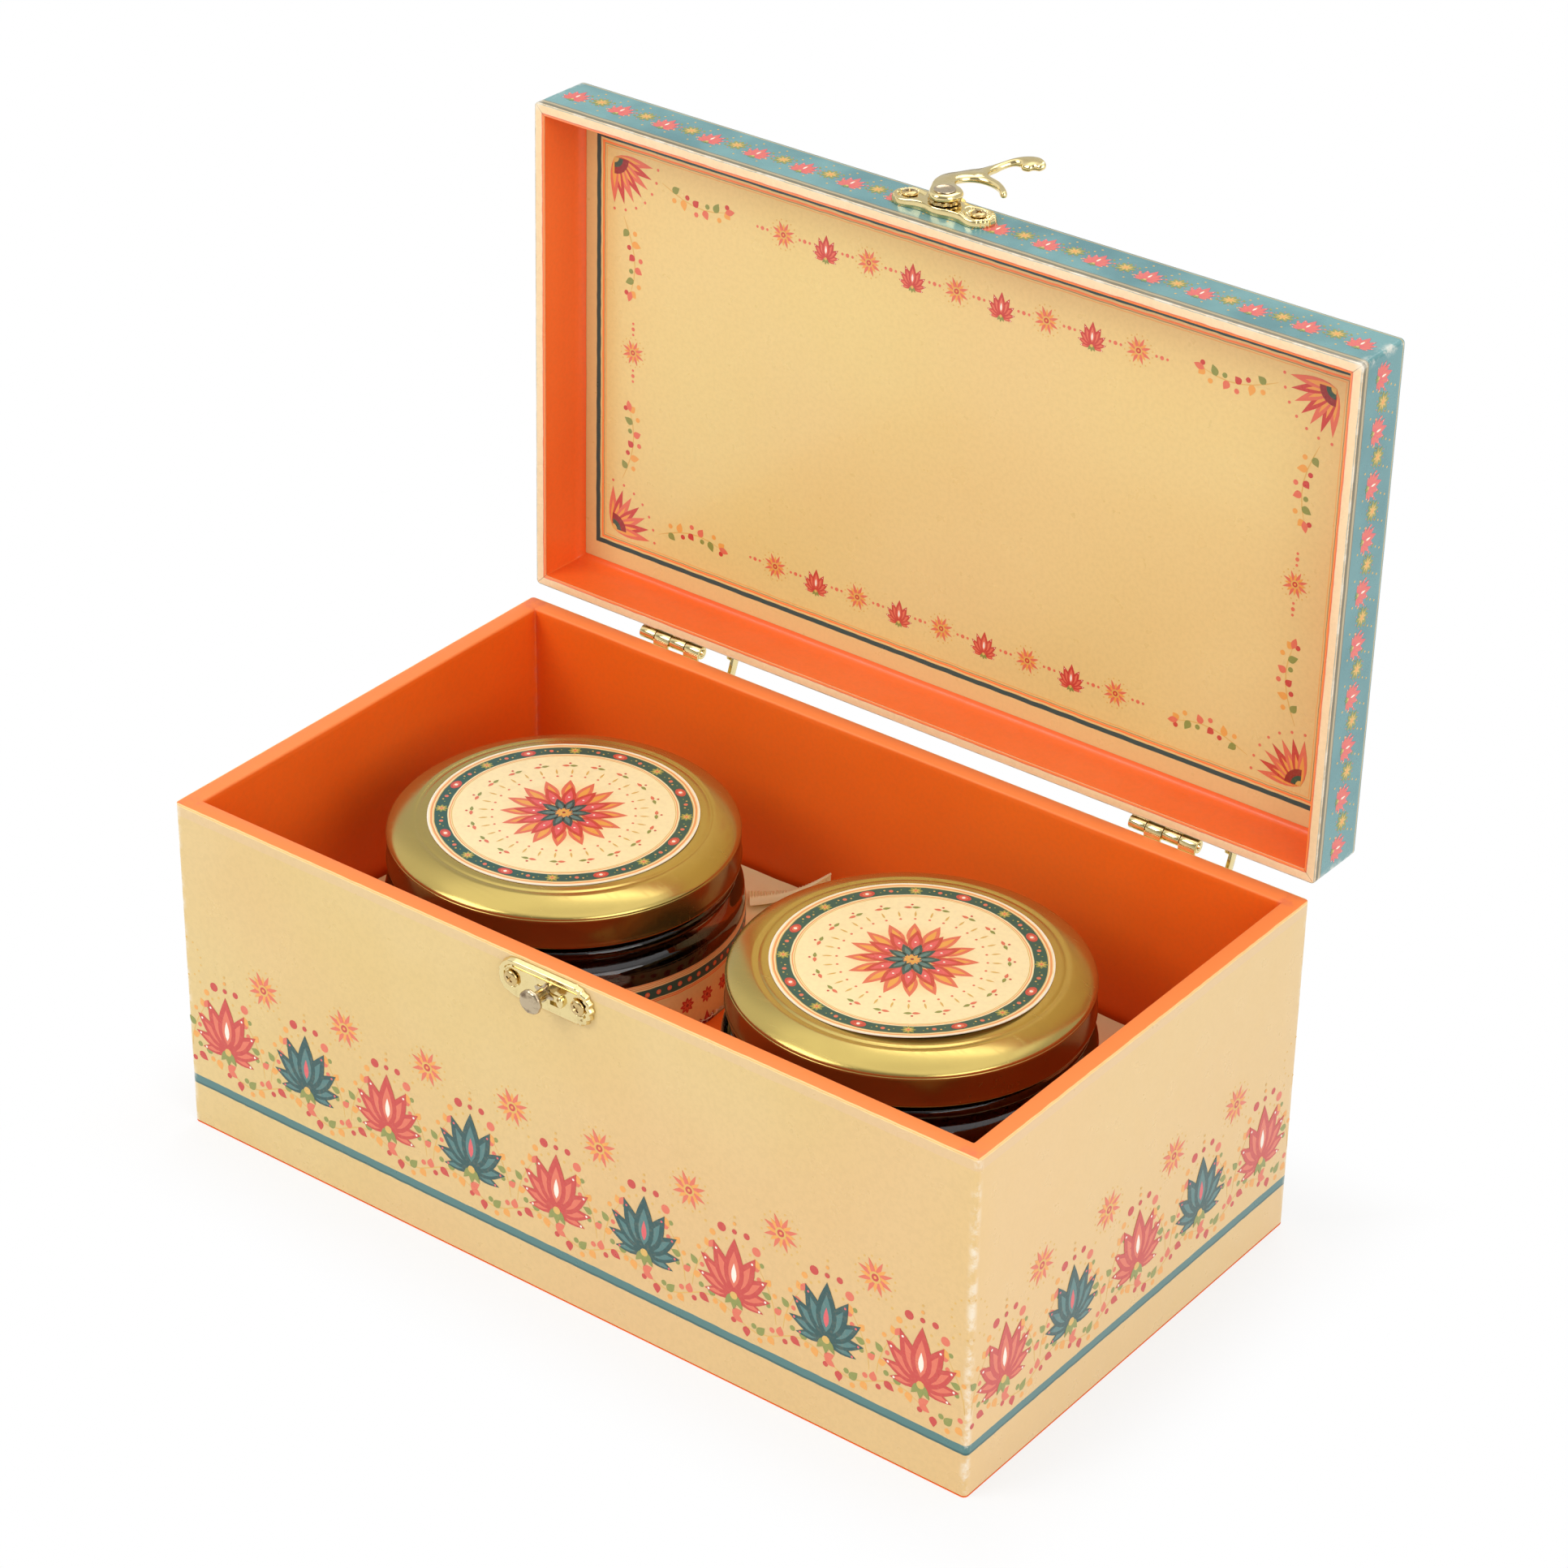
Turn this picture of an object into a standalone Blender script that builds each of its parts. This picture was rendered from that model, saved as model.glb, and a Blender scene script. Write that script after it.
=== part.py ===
# Jar gift box: paper-covered board box with a hinged lid, a hook latch and two capped glass jars.
# Metres, +Z up, front towards -Y. The origin is the middle of the underside, and the lid stands open.

import math

import bmesh
import bpy
from mathutils import Vector

MM = 0.001

# Box body
BOX_LENGTH = 235.0 * MM
BOX_DEPTH = 132.0 * MM
BOX_HEIGHT = 92.0 * MM
WALL_BOARD = 4.0 * MM
BASE_BOARD = 3.0 * MM
PAPER = 0.25 * MM
GLUE = 0.1 * MM
CORNER_RADIUS = 1.2 * MM
INNER_CORNER = 0.4 * MM
CORNER_STEPS = 3

# Lid
LID_HEIGHT = 18.0 * MM
LID_TOP_BOARD = 3.0 * MM
LID_RAIL = 2.35 * MM
LID_CARD = 0.5 * MM
LID_GAP = 0.4 * MM
LID_OPEN = 91.0
TOP_EDGE = 0.6 * MM

# Hinges
HINGE_INSET = 43.0 * MM
HINGE_SHIFT = 1.5 * MM
HINGE_PROUD = 2.2 * MM
HINGE_RISE = 1.1 * MM
BARREL_LENGTH = 19.0 * MM
KNUCKLES = 4
KNUCKLE_GAP = 0.25 * MM
KNUCKLE_RADIUS = 1.7 * MM
PIN_RADIUS = 0.8 * MM
PIN_END = 0.4 * MM
RUNNING_FIT = 0.1 * MM
LEAF_THICKNESS = 0.6 * MM
LEAF_HEIGHT = 14.0 * MM
LEAF_SIDE = 9.0 * MM
LEAF_CORNER = 1.6 * MM
LEAF_CLEAR = 0.5 * MM
LEAF_SCREW_MARGIN = 3.6 * MM
HARDWARE_GAP = 0.1 * MM

# Stays, the struts that stop the lid
STAY_LENGTH = 14.0 * MM
STAY_WIDTH = 2.4 * MM
STAY_THICKNESS = 1.0 * MM
STAY_PIVOT_HEIGHT = 6.0 * MM
STAY_PIVOT_OUT = 0.8 * MM
STAY_TURN = 21.8
STAY_PIN_RADIUS = 0.7 * MM
STAY_SIDE_GAP = 0.2 * MM
STAY_PIN_END = 0.4 * MM
STAY_SETBACK = 5.4 * MM
LUG_THICKNESS = 0.8 * MM
LUG_WALL = 1.1 * MM
SLOT_CLEAR = 0.15 * MM

# Latch and catch
LATCH_X = -1.7 * MM
LATCH_RISE = 9.8 * MM
CATCH_DROP = 6.0 * MM
PLATE_LENGTH = 28.0 * MM
PLATE_WIDTH = 10.8 * MM
PLATE_THICKNESS = 1.3 * MM
LATCH_PLATE_THICKNESS = 2.2 * MM
PLATE_SCREW_SPACING = 19.6 * MM
LATCH_LOBE = 4.3 * MM
LATCH_WAIST = 3.4 * MM
RIM_WIDTH = 0.7 * MM
WASHER_RADIUS = 3.6 * MM
WASHER_THICKNESS = 1.0 * MM
WASHER_NOTCHES = 12
HOOK_THICKNESS = 1.6 * MM
HOOK_EDGE = 0.45 * MM
HOOK_LIFT = 0.3
HOOK_DRAWN_REACH = 16.2
RIVET_RADIUS = 1.6 * MM
RIVET_HEAD_RADIUS = 2.8 * MM
RIVET_HEAD = 0.6 * MM
STUD_NECK_RADIUS = 1.4 * MM
STUD_HEAD_RADIUS = 3.1 * MM
STUD_HEAD = 1.4 * MM
STACK_GAP = 0.2 * MM
POCKET_WIDTH = 2.6 * MM
POCKET_HEIGHT = 3.2 * MM
GROOVE_LENGTH = 19.0 * MM
GROOVE_WIDTH = 0.8 * MM
FLUTE = 0.3 * MM
BUMP_RADIUS = 1.2 * MM
BUMP_HEIGHT = 1.0 * MM

# Screws
SCREW_HEAD_RADIUS = 1.75 * MM
SCREW_HEAD = 0.85 * MM
SCREW_SHANK_RADIUS = 0.75 * MM
SCREW_BITE = 2.0 * MM
SCREW_TIP = 0.8 * MM
SCREW_SIDES = 10

# Insert
INSERT_HEIGHT = 41.3 * MM
INSERT_CARD = 2.0 * MM
INSERT_PLAY = 1.0 * MM
HOLE_CLEAR = 1.0 * MM
SATIN = 0.8 * MM
SATIN_INSET = 0.6 * MM
SATIN_OPEN = 44.0 * MM
SATIN_BACK = 18.0 * MM
REST_GAP = 0.3 * MM
RUFFLE_WIDTH = 7.0 * MM
RUFFLE_LEAN = 11.0 * MM
RUFFLE_RISE = 6.5 * MM
RUFFLE_RIBS = 10
RUFFLE_RIB_HEIGHT = 0.35 * MM
RUFFLE_FOLD = 1.3 * MM
RUFFLE_BEARING = 65.5

# Jars
JAR_SPACING = 104.2 * MM
JAR_RADIUS = 44.0 * MM
JAR_HEIGHT = 74.4 * MM
JAR_WALL = 2.8 * MM
JAR_BASE = 4.2 * MM
JAR_HEEL = 5.0 * MM
JAR_SHOULDER = 56.0 * MM
JAR_MOUTH = 37.4 * MM
JAR_PUSH_UP = 0.8 * MM
FINISH_RADIUS = 40.3 * MM
FINISH_HEIGHT = 8.2 * MM
FINISH_LIP = 1.2 * MM
BEAD_RADIUS = 42.2 * MM
BEAD_HEIGHT = 3.4 * MM
THREAD_STARTS = 4
THREAD_DEPTH = 0.7 * MM
THREAD_RISE = 2.6 * MM
THREAD_WIDTH = 1.8 * MM
THREAD_ROWS = 6
FILL_HEIGHT = 68.0 * MM
FILL_GAP = 0.3 * MM
FILL_EDGE = 1.0 * MM
JAR_LABEL_LOW = 9.0 * MM
JAR_LABEL_HIGH = 55.0 * MM
JAR_SIDES = 40

# Caps
CAP_RADIUS = 43.0 * MM
CAP_HEIGHT = 9.4 * MM
CAP_TIN = 0.5 * MM
CAP_DOME = 1.8 * MM
CAP_PANEL_RADIUS = 34.8 * MM
CAP_SHOULDER = 1.2 * MM
CAP_GROOVE = 0.25 * MM
CAP_RING = 1.6 * MM
CAP_LABEL_RADIUS = 33.0 * MM
CAP_LUGS = 4
LUG_REACH = 1.2 * MM
LUG_SPAN = 14.0
GASKET_THICKNESS = 1.0 * MM

# Places that follow from the sizes above
WALL = WALL_BOARD + 2.0 * (PAPER + GLUE)
SKIN = PAPER + GLUE
INNER_X = BOX_LENGTH / 2.0 - WALL
INNER_Y = BOX_DEPTH / 2.0 - WALL
FLOOR_Z = 2.0 * SKIN + BASE_BOARD
AXIS_Y = BOX_DEPTH / 2.0 + HINGE_PROUD
AXIS_Z = BOX_HEIGHT + HINGE_RISE
LID_RIM_Z = LID_GAP - HINGE_RISE
LID_BACK_Y = -HINGE_PROUD
LID_FRONT_Y = LID_BACK_Y - BOX_DEPTH
LID_MIDDLE_Y = LID_BACK_Y - BOX_DEPTH / 2.0
LID_WALL = LID_RAIL + 2.0 * SKIN
LATCH_SEAT = HARDWARE_GAP
WASHER_SEAT = LATCH_SEAT + LATCH_PLATE_THICKNESS + STACK_GAP / 2.0
HOOK_SEAT = WASHER_SEAT + WASHER_THICKNESS + STACK_GAP
HOOK_FRONT = HOOK_SEAT + HOOK_THICKNESS
HOOK_REACH = LATCH_RISE + LID_GAP + CATCH_DROP
SATIN_TOP = INSERT_HEIGHT + REST_GAP + SATIN
JAR_SEAT_Z = FLOOR_Z + REST_GAP
CAP_SEAT = JAR_HEIGHT + REST_GAP + GASKET_THICKNESS + CAP_TIN + REST_GAP - CAP_HEIGHT

# Colours as seen (red, green, blue), roughness and metallic
LOOKS = {
    "board": ((0.66, 0.50, 0.34), 0.8, 0.0),
    "print": ((0.93, 0.83, 0.60), 0.32, 0.0),
    "teal_print": ((0.42, 0.63, 0.62), 0.32, 0.0),
    "orange_paper": ((0.88, 0.36, 0.12), 0.45, 0.0),
    "card_print": ((0.94, 0.82, 0.56), 0.4, 0.0),
    "satin": ((0.92, 0.72, 0.53), 0.42, 0.0),
    "brass": ((0.84, 0.72, 0.40), 0.22, 1.0),
    "worn_brass": ((0.72, 0.66, 0.52), 0.35, 1.0),
    "glass": ((0.30, 0.17, 0.10), 0.05, 0.0),
    "preserve": ((0.16, 0.07, 0.04), 0.35, 0.0),
    "gold_tin": ((0.66, 0.57, 0.30), 0.3, 1.0),
    "seal": ((0.92, 0.91, 0.86), 0.5, 0.0),
    "label": ((0.97, 0.91, 0.72), 0.45, 0.0),
}


def clear_scene():
    for item in list(bpy.data.objects):
        bpy.data.objects.remove(item, do_unlink=True)


def linear(value):
    if value <= 0.04045:
        return value / 12.92
    return ((value + 0.055) / 1.055) ** 2.4


def finish(name, look):
    colour, roughness, metallic = LOOKS[look]
    made = bpy.data.materials.new(name)
    made.use_nodes = True
    shader = made.node_tree.nodes["Principled BSDF"]
    shader.inputs["Base Color"].default_value = (*(linear(c) for c in colour), 1.0)
    shader.inputs["Roughness"].default_value = roughness
    shader.inputs["Metallic"].default_value = metallic
    return made


def skin(rings, closed=False):
    # Rings of points joined one to the next, with the ends filled unless the last meets the first
    form = bmesh.new()
    rows = [[form.verts.new(point) for point in ring] for ring in rings]
    pairs = list(zip(rows, rows[1:]))
    if closed:
        pairs.append((rows[-1], rows[0]))
    for low, high in pairs:
        for i in range(len(low)):
            j = (i + 1) % len(low)
            form.faces.new((low[i], low[j], high[j], high[i]))
    if not closed:
        form.faces.new(list(reversed(rows[0])))
        form.faces.new(rows[-1])
    bmesh.ops.recalc_face_normals(form, faces=form.faces)
    if form.calc_volume(signed=True) < 0.0:
        bmesh.ops.reverse_faces(form, faces=form.faces)
    return form


def link(name, form, parent, place, turn):
    mesh = bpy.data.meshes.new(name)
    form.to_mesh(mesh)
    form.free()
    piece = bpy.data.objects.new(name, mesh)
    bpy.context.scene.collection.objects.link(piece)
    piece.parent = parent
    piece.location = place
    piece.rotation_euler = turn
    return piece


def add(name, form, look, parent=None, place=(0, 0, 0), turn=(0, 0, 0), smooth=None):
    piece = link(name, form, parent, place, turn)
    piece.data.materials.append(finish(name, look))
    if smooth:
        piece.data.shade_smooth()
        piece.data.set_sharp_from_angle(angle=math.radians(smooth))
    return piece


def tool(name, form, parent=None, place=(0, 0, 0), turn=(0, 0, 0)):
    piece = link(name, form, parent, place, turn)
    piece.hide_render = True
    piece.display_type = "WIRE"
    return piece


def combine(piece, other, operation):
    step = piece.modifiers.new(f"{operation.lower()}_{other.name}", "BOOLEAN")
    step.object = other
    step.operation = operation
    step.solver = "EXACT"


def empty(name, parent=None, place=(0, 0, 0), turn=(0, 0, 0)):
    frame = bpy.data.objects.new(name, None)
    bpy.context.scene.collection.objects.link(frame)
    frame.parent = parent
    frame.location = place
    frame.rotation_euler = turn
    return frame


def rounded_rectangle(half_x, half_y, radius, centre=(0.0, 0.0), steps=CORNER_STEPS):
    points = []
    for quarter, (side_x, side_y) in enumerate(((1, 1), (-1, 1), (-1, -1), (1, -1))):
        middle_x = centre[0] + side_x * (half_x - radius)
        middle_y = centre[1] + side_y * (half_y - radius)
        for step in range(steps + 1):
            angle = math.radians(90.0 * (quarter + step / steps))
            points.append((middle_x + radius * math.cos(angle), middle_y + radius * math.sin(angle)))
    return points


def box_ring(half_x, half_y, inset, z, centre_y=0.0):
    # A level outline of the box, moved in by inset, with the outer corner's radius drawn in too
    radius = max(CORNER_RADIUS - inset, INNER_CORNER)
    outline = rounded_rectangle(half_x - inset, half_y - inset, radius, (0.0, centre_y))
    return [(x, y, z) for x, y in outline]


def slab(low, high, radii):
    # A board between two corners whose plan corners are rounded: radii for +x+y, -x+y, -x-y, +x-y
    centre = [(a + b) / 2.0 for a, b in zip(low, high)]
    half = [(b - a) / 2.0 for a, b in zip(low, high)]
    outline = []
    for quarter, (side_x, side_y) in enumerate(((1, 1), (-1, 1), (-1, -1), (1, -1))):
        radius = radii[quarter]
        for step in range(CORNER_STEPS + 1 if radius else 1):
            angle = math.radians(90.0 * (quarter + step / CORNER_STEPS))
            x = centre[0] + side_x * (half[0] - radius) + radius * math.cos(angle) * bool(radius)
            y = centre[1] + side_y * (half[1] - radius) + radius * math.sin(angle) * bool(radius)
            outline.append((x, y))
    return skin([[(x, y, low[2]) for x, y in outline], [(x, y, high[2]) for x, y in outline]])


def circle(radius, z, sides, reach=None):
    ring = []
    for i in range(sides):
        angle = 2.0 * math.pi * i / sides
        size = reach(angle) if reach else radius
        ring.append((size * math.cos(angle), size * math.sin(angle), z))
    return ring


def turned(profile, sides, closed=False):
    # A profile of (radius, height) turned about Z; a radius may be a function of the angle
    rings = []
    for radius, z in profile:
        if callable(radius):
            rings.append(circle(0.0, z, sides, radius))
        else:
            rings.append(circle(radius, z, sides))
    return skin(rings, closed)


def rod(radius, low, high, sides):
    return turned([(radius, low), (radius, high)], sides)


def inset_outline(points, distance):
    # The outline moved inwards by distance along each point's normal; points run anticlockwise
    moved = []
    count = len(points)
    for i in range(count):
        before = Vector(points[i - 1])
        here = Vector(points[i])
        after = Vector(points[(i + 1) % count])
        along = (after - before).normalized()
        moved.append((here.x - along.y * distance, here.y + along.x * distance))
    return moved


def smooth_outline(points, steps):
    # A closed curve through the points (Catmull-Rom), with steps points for each span
    curve = []
    count = len(points)
    for i in range(count):
        a, b, c, d = (Vector(points[(i + k - 1) % count]) for k in range(4))
        for step in range(steps):
            t = step / steps
            point = 0.5 * (
                2.0 * b
                + (c - a) * t
                + (2.0 * a - 5.0 * b + 4.0 * c - d) * t * t
                + (3.0 * b - a - 3.0 * c + d) * t * t * t
            )
            curve.append((point.x, point.y))
    return curve


def box_body():
    half_x = BOX_LENGTH / 2.0
    half_y = BOX_DEPTH / 2.0
    low = SKIN
    high = BOX_HEIGHT - SKIN
    out_x = half_x - SKIN
    out_y = half_y - SKIN
    ease = CORNER_RADIUS - SKIN
    in_y = out_y - WALL_BOARD
    side_y = in_y - GLUE
    base_x = out_x - WALL_BOARD - GLUE
    front = slab((-out_x, -out_y, low), (out_x, -in_y, high), (0, 0, ease, ease))
    back = slab((-out_x, in_y, low), (out_x, out_y, high), (ease, ease, 0, 0))
    left = slab((-out_x, -side_y, low), (-out_x + WALL_BOARD, side_y, high), (0, 0, 0, 0))
    right = slab((out_x - WALL_BOARD, -side_y, low), (out_x, side_y, high), (0, 0, 0, 0))
    base = slab((-base_x, -side_y, low), (base_x, side_y, low + BASE_BOARD), (0, 0, 0, 0))
    pieces = {
        "front_board": add("front_board", front, "board"),
        "back_board": add("back_board", back, "board"),
    }
    add("left_board", left, "board")
    add("right_board", right, "board")
    add("base_board", base, "board")

    wrap = skin(
        [
            box_ring(half_x, half_y, 0.0, low),
            box_ring(half_x, half_y, 0.0, high),
            box_ring(half_x, half_y, PAPER, high),
            box_ring(half_x, half_y, PAPER, low),
        ],
        closed=True,
    )
    pieces["outer_wrap"] = add("outer_wrap", wrap, "print")

    # The lining stands inside the walls and turns outwards over their tops
    lining_low = FLOOR_Z + GLUE
    lining = skin(
        [
            box_ring(half_x, half_y, 0.0, high + GLUE),
            box_ring(half_x, half_y, 0.0, BOX_HEIGHT),
            box_ring(half_x, half_y, WALL, BOX_HEIGHT),
            box_ring(half_x, half_y, WALL, lining_low),
            box_ring(half_x, half_y, WALL - PAPER, lining_low),
            box_ring(half_x, half_y, WALL - PAPER, high + GLUE),
        ],
        closed=True,
    )
    add("inner_lining", lining, "orange_paper")
    floor = slab((-base_x, -side_y, FLOOR_Z - PAPER), (base_x, side_y, FLOOR_Z), (0, 0, 0, 0))
    add("floor_lining", floor, "orange_paper")
    under = slab((-half_x, -half_y, 0.0), (half_x, half_y, PAPER), (CORNER_RADIUS,) * 4)
    add("base_paper", under, "orange_paper")
    return pieces


def insert():
    reach_x = INNER_X - INSERT_PLAY
    reach_y = INNER_Y - INSERT_PLAY
    radius = INNER_CORNER + INSERT_CARD

    def level(inset, z):
        outline = rounded_rectangle(reach_x - inset, reach_y - inset, radius - inset)
        return [(x, y, z) for x, y in outline]

    # A folded tray, upside down: its four flanges stand on the floor
    foot = FLOOR_Z + REST_GAP
    card = skin(
        [
            level(INSERT_CARD, INSERT_HEIGHT - INSERT_CARD),
            level(INSERT_CARD, foot),
            level(0.0, foot),
            level(0.0, INSERT_HEIGHT),
        ]
    )
    platform = add("insert_card", card, "orange_paper")
    sheet = skin([level(SATIN_INSET, INSERT_HEIGHT + REST_GAP), level(SATIN_INSET, SATIN_TOP)])
    cover = add("satin_cover", sheet, "satin")
    for number, side in ((1, -1), (2, 1)):
        hole = rod(JAR_RADIUS + PAPER + HOLE_CLEAR, foot - INSERT_CARD, SATIN_TOP + INSERT_CARD, JAR_SIDES)
        cut = tool(f"jar_hole_{number}", hole, place=(side * JAR_SPACING / 2.0, 0, 0))
        combine(platform, cut, "DIFFERENCE")
        combine(cover, cut, "DIFFERENCE")
    # The satin stops short between the jars, where the orange card shows
    gap_high = SATIN_TOP + INSERT_CARD
    gap = slab(
        (-SATIN_OPEN / 2.0, -INNER_Y, INSERT_HEIGHT),
        (SATIN_OPEN / 2.0, INNER_Y - SATIN_BACK, gap_high),
        (0, 0, 0, 0),
    )
    combine(cover, tool("satin_gap", gap), "DIFFERENCE")


def ruffle():
    # A gathered strip from beside the first jar to the back wall, its hem rolled and standing up there
    bearing = math.radians(RUFFLE_BEARING)
    reach = JAR_RADIUS + RUFFLE_WIDTH
    low = SATIN_TOP + REST_GAP + SATIN
    start = Vector((reach * math.cos(bearing) - JAR_SPACING / 2.0, reach * math.sin(bearing), low))
    end = Vector((start.x + RUFFLE_LEAN, INNER_Y - RUFFLE_WIDTH * 0.5, low + RUFFLE_RISE))
    along = Vector((end.x - start.x, end.y - start.y, 0.0)).normalized()
    across = Vector((along.y, -along.x, 0.0))
    rows = RUFFLE_RIBS * 2
    columns = 6
    form = bmesh.new()
    upper = []
    lower = []
    for row in range(rows + 1):
        share = row / rows
        top_line = []
        low_line = []
        for column in range(columns + 1):
            side = column / columns
            rib = RUFFLE_RIB_HEIGHT * (row % 2) * (side < 0.7)
            hem = RUFFLE_FOLD * max(math.sin(math.pi * (1.8 * side - 0.8)), 0.0)
            middle = start.lerp(end, share)
            middle.z = start.z + RUFFLE_RISE * side * share * share + rib + hem
            point = middle + across * RUFFLE_WIDTH * (side - 0.5) * (1.0 - 0.3 * share)
            top_line.append(form.verts.new(point))
            low_line.append(form.verts.new(point - Vector((0.0, 0.0, SATIN))))
        upper.append(top_line)
        lower.append(low_line)
    for row in range(rows):
        for column in range(columns):
            for sheet in (upper, lower):
                a, b = sheet[row][column], sheet[row + 1][column]
                c, d = sheet[row + 1][column + 1], sheet[row][column + 1]
                form.faces.new((a, d, c, b) if sheet is upper else (a, b, c, d))
    edge = [(row, 0) for row in range(rows)] + [(rows, column) for column in range(columns)]
    edge += [(row, columns) for row in range(rows, 0, -1)]
    edge += [(0, column) for column in range(columns, 0, -1)]
    for (r1, c1), (r2, c2) in zip(edge, edge[1:] + edge[:1]):
        form.faces.new((upper[r1][c1], upper[r2][c2], lower[r2][c2], lower[r1][c1]))
    bmesh.ops.recalc_face_normals(form, faces=form.faces)
    if form.calc_volume(signed=True) < 0.0:
        bmesh.ops.reverse_faces(form, faces=form.faces)
    add("satin_ruffle", form, "satin")


def lid_body(lid_axis):
    half_x = BOX_LENGTH / 2.0
    half_y = BOX_DEPTH / 2.0
    top = LID_RIM_Z + LID_HEIGHT
    rail_low = LID_RIM_Z + SKIN
    board_high = top - SKIN
    board_low = board_high - LID_TOP_BOARD
    rail_high = board_low - GLUE

    def level(inset, z):
        return box_ring(half_x, half_y, inset, z, LID_MIDDLE_Y)

    # Printed paper over the top and sides, turned round the rim to the inner edge
    wrap = skin(
        [
            level(TOP_EDGE, top),
            level(TOP_EDGE * 0.3, top - TOP_EDGE * 0.3),
            level(0.0, top - TOP_EDGE),
            level(0.0, LID_RIM_Z),
            level(LID_WALL, LID_RIM_Z),
            level(LID_WALL, LID_RIM_Z + PAPER),
            level(PAPER, LID_RIM_Z + PAPER),
            level(PAPER, top - TOP_EDGE),
            level(TOP_EDGE * 0.3 + PAPER, top - TOP_EDGE * 0.3 - PAPER),
            level(TOP_EDGE + PAPER, top - PAPER),
        ]
    )
    pieces = {"lid_wrap": add("lid_wrap", wrap, "teal_print", lid_axis)}

    # The top board's edge follows the wrap's rounded edge
    board = skin(
        [
            level(SKIN, board_low),
            level(SKIN, board_high - TOP_EDGE),
            level(SKIN + TOP_EDGE * 0.3, board_high - TOP_EDGE * 0.3 - GLUE),
            level(SKIN + TOP_EDGE, board_high),
        ]
    )
    add("lid_top_board", board, "board", lid_axis)

    out_x = half_x - SKIN
    front_y = LID_FRONT_Y + SKIN
    back_y = LID_BACK_Y - SKIN
    ease = CORNER_RADIUS - SKIN
    rails = {
        "lid_front_rail": ((-out_x, front_y), (out_x, front_y + LID_RAIL), (0, 0, ease, ease)),
        "lid_back_rail": ((-out_x, back_y - LID_RAIL), (out_x, back_y), (ease, ease, 0, 0)),
        "lid_left_rail": (
            (-out_x, front_y + LID_RAIL + GLUE),
            (-out_x + LID_RAIL, back_y - LID_RAIL - GLUE),
            (0, 0, 0, 0),
        ),
        "lid_right_rail": (
            (out_x - LID_RAIL, front_y + LID_RAIL + GLUE),
            (out_x, back_y - LID_RAIL - GLUE),
            (0, 0, 0, 0),
        ),
    }
    for name, (low, high, radii) in rails.items():
        form = slab((*low, rail_low), (*high, rail_high), radii)
        pieces[name] = add(name, form, "board", lid_axis)

    card_high = board_low - GLUE
    card_low = card_high - LID_CARD
    lining_high = card_low - GLUE
    lining = skin(
        [
            level(LID_WALL, rail_low),
            level(LID_WALL, lining_high),
            level(LID_WALL - PAPER, lining_high),
            level(LID_WALL - PAPER, rail_low),
        ],
        closed=True,
    )
    add("lid_lining", lining, "orange_paper", lid_axis)
    card = skin([level(LID_WALL - PAPER, card_low), level(LID_WALL - PAPER, card_high)])
    add("lid_card", card, "card_print", lid_axis)
    return pieces


def screw(name, seat, bite, parent, place, turn, cut_pieces):
    # A pan-head screw: its head rests on the seat, its shank reaches bite below it
    head = SCREW_HEAD_RADIUS
    low = seat + HARDWARE_GAP
    profile = [
        (SCREW_SHANK_RADIUS * 0.3, low - bite),
        (SCREW_SHANK_RADIUS, low - bite + SCREW_TIP),
        (SCREW_SHANK_RADIUS, low),
        (head, low),
        (head * 0.97, low + SCREW_HEAD * 0.45),
        (head * 0.75, low + SCREW_HEAD * 0.85),
        (head * 0.35, low + SCREW_HEAD),
    ]
    add(name, turned(profile, SCREW_SIDES), "brass", parent, place, turn, smooth=35)
    hole = rod(SCREW_SHANK_RADIUS + GLUE, low - bite - GLUE, seat + SCREW_HEAD, SCREW_SIDES)
    cut = tool(f"{name}_hole", hole, parent, place, turn)
    for piece in cut_pieces:
        combine(piece, cut, "DIFFERENCE")


def knuckle_span(index):
    pitch = (BARREL_LENGTH + KNUCKLE_GAP) / KNUCKLES
    low = -BARREL_LENGTH / 2.0 + index * pitch
    return low, low + pitch - KNUCKLE_GAP


def leaf_plate(own, up):
    # The leaf's outline in X and Z with a web to each of its own knuckles, extruded in Y
    low_x = -BARREL_LENGTH / 2.0
    high_x = BARREL_LENGTH / 2.0 + LEAF_SIDE
    near = KNUCKLE_RADIUS + LEAF_CLEAR
    points = [(high_x, near)]
    for step in range(CORNER_STEPS + 1):
        angle = math.radians(90.0 * step / CORNER_STEPS)
        points.append(
            (
                high_x - LEAF_CORNER + LEAF_CORNER * math.cos(angle),
                LEAF_HEIGHT - LEAF_CORNER + LEAF_CORNER * math.sin(angle),
            )
        )
    for step in range(CORNER_STEPS + 1):
        angle = math.radians(90.0 + 90.0 * step / CORNER_STEPS)
        points.append(
            (
                low_x + LEAF_CORNER + LEAF_CORNER * math.cos(angle),
                LEAF_HEIGHT - LEAF_CORNER + LEAF_CORNER * math.sin(angle),
            )
        )
    if own[0] != 0:
        points.append((low_x, near))
    for index in own:
        low, high = knuckle_span(index)
        if index != 0:
            points.append((low, near))
        points += [(low, 0.0), (high, 0.0), (high, near)]
    side = 1.0 if up else -1.0
    inner = -HINGE_PROUD + HARDWARE_GAP
    rings = [[(x, y, side * z) for x, z in points] for y in (inner, inner + LEAF_THICKNESS)]
    return skin(rings)


def upright(form_x, outline):
    # A flat piece standing in the Y-Z plane between two X values
    return skin([[(x, y, z) for y, z in outline] for x in form_x])


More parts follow.
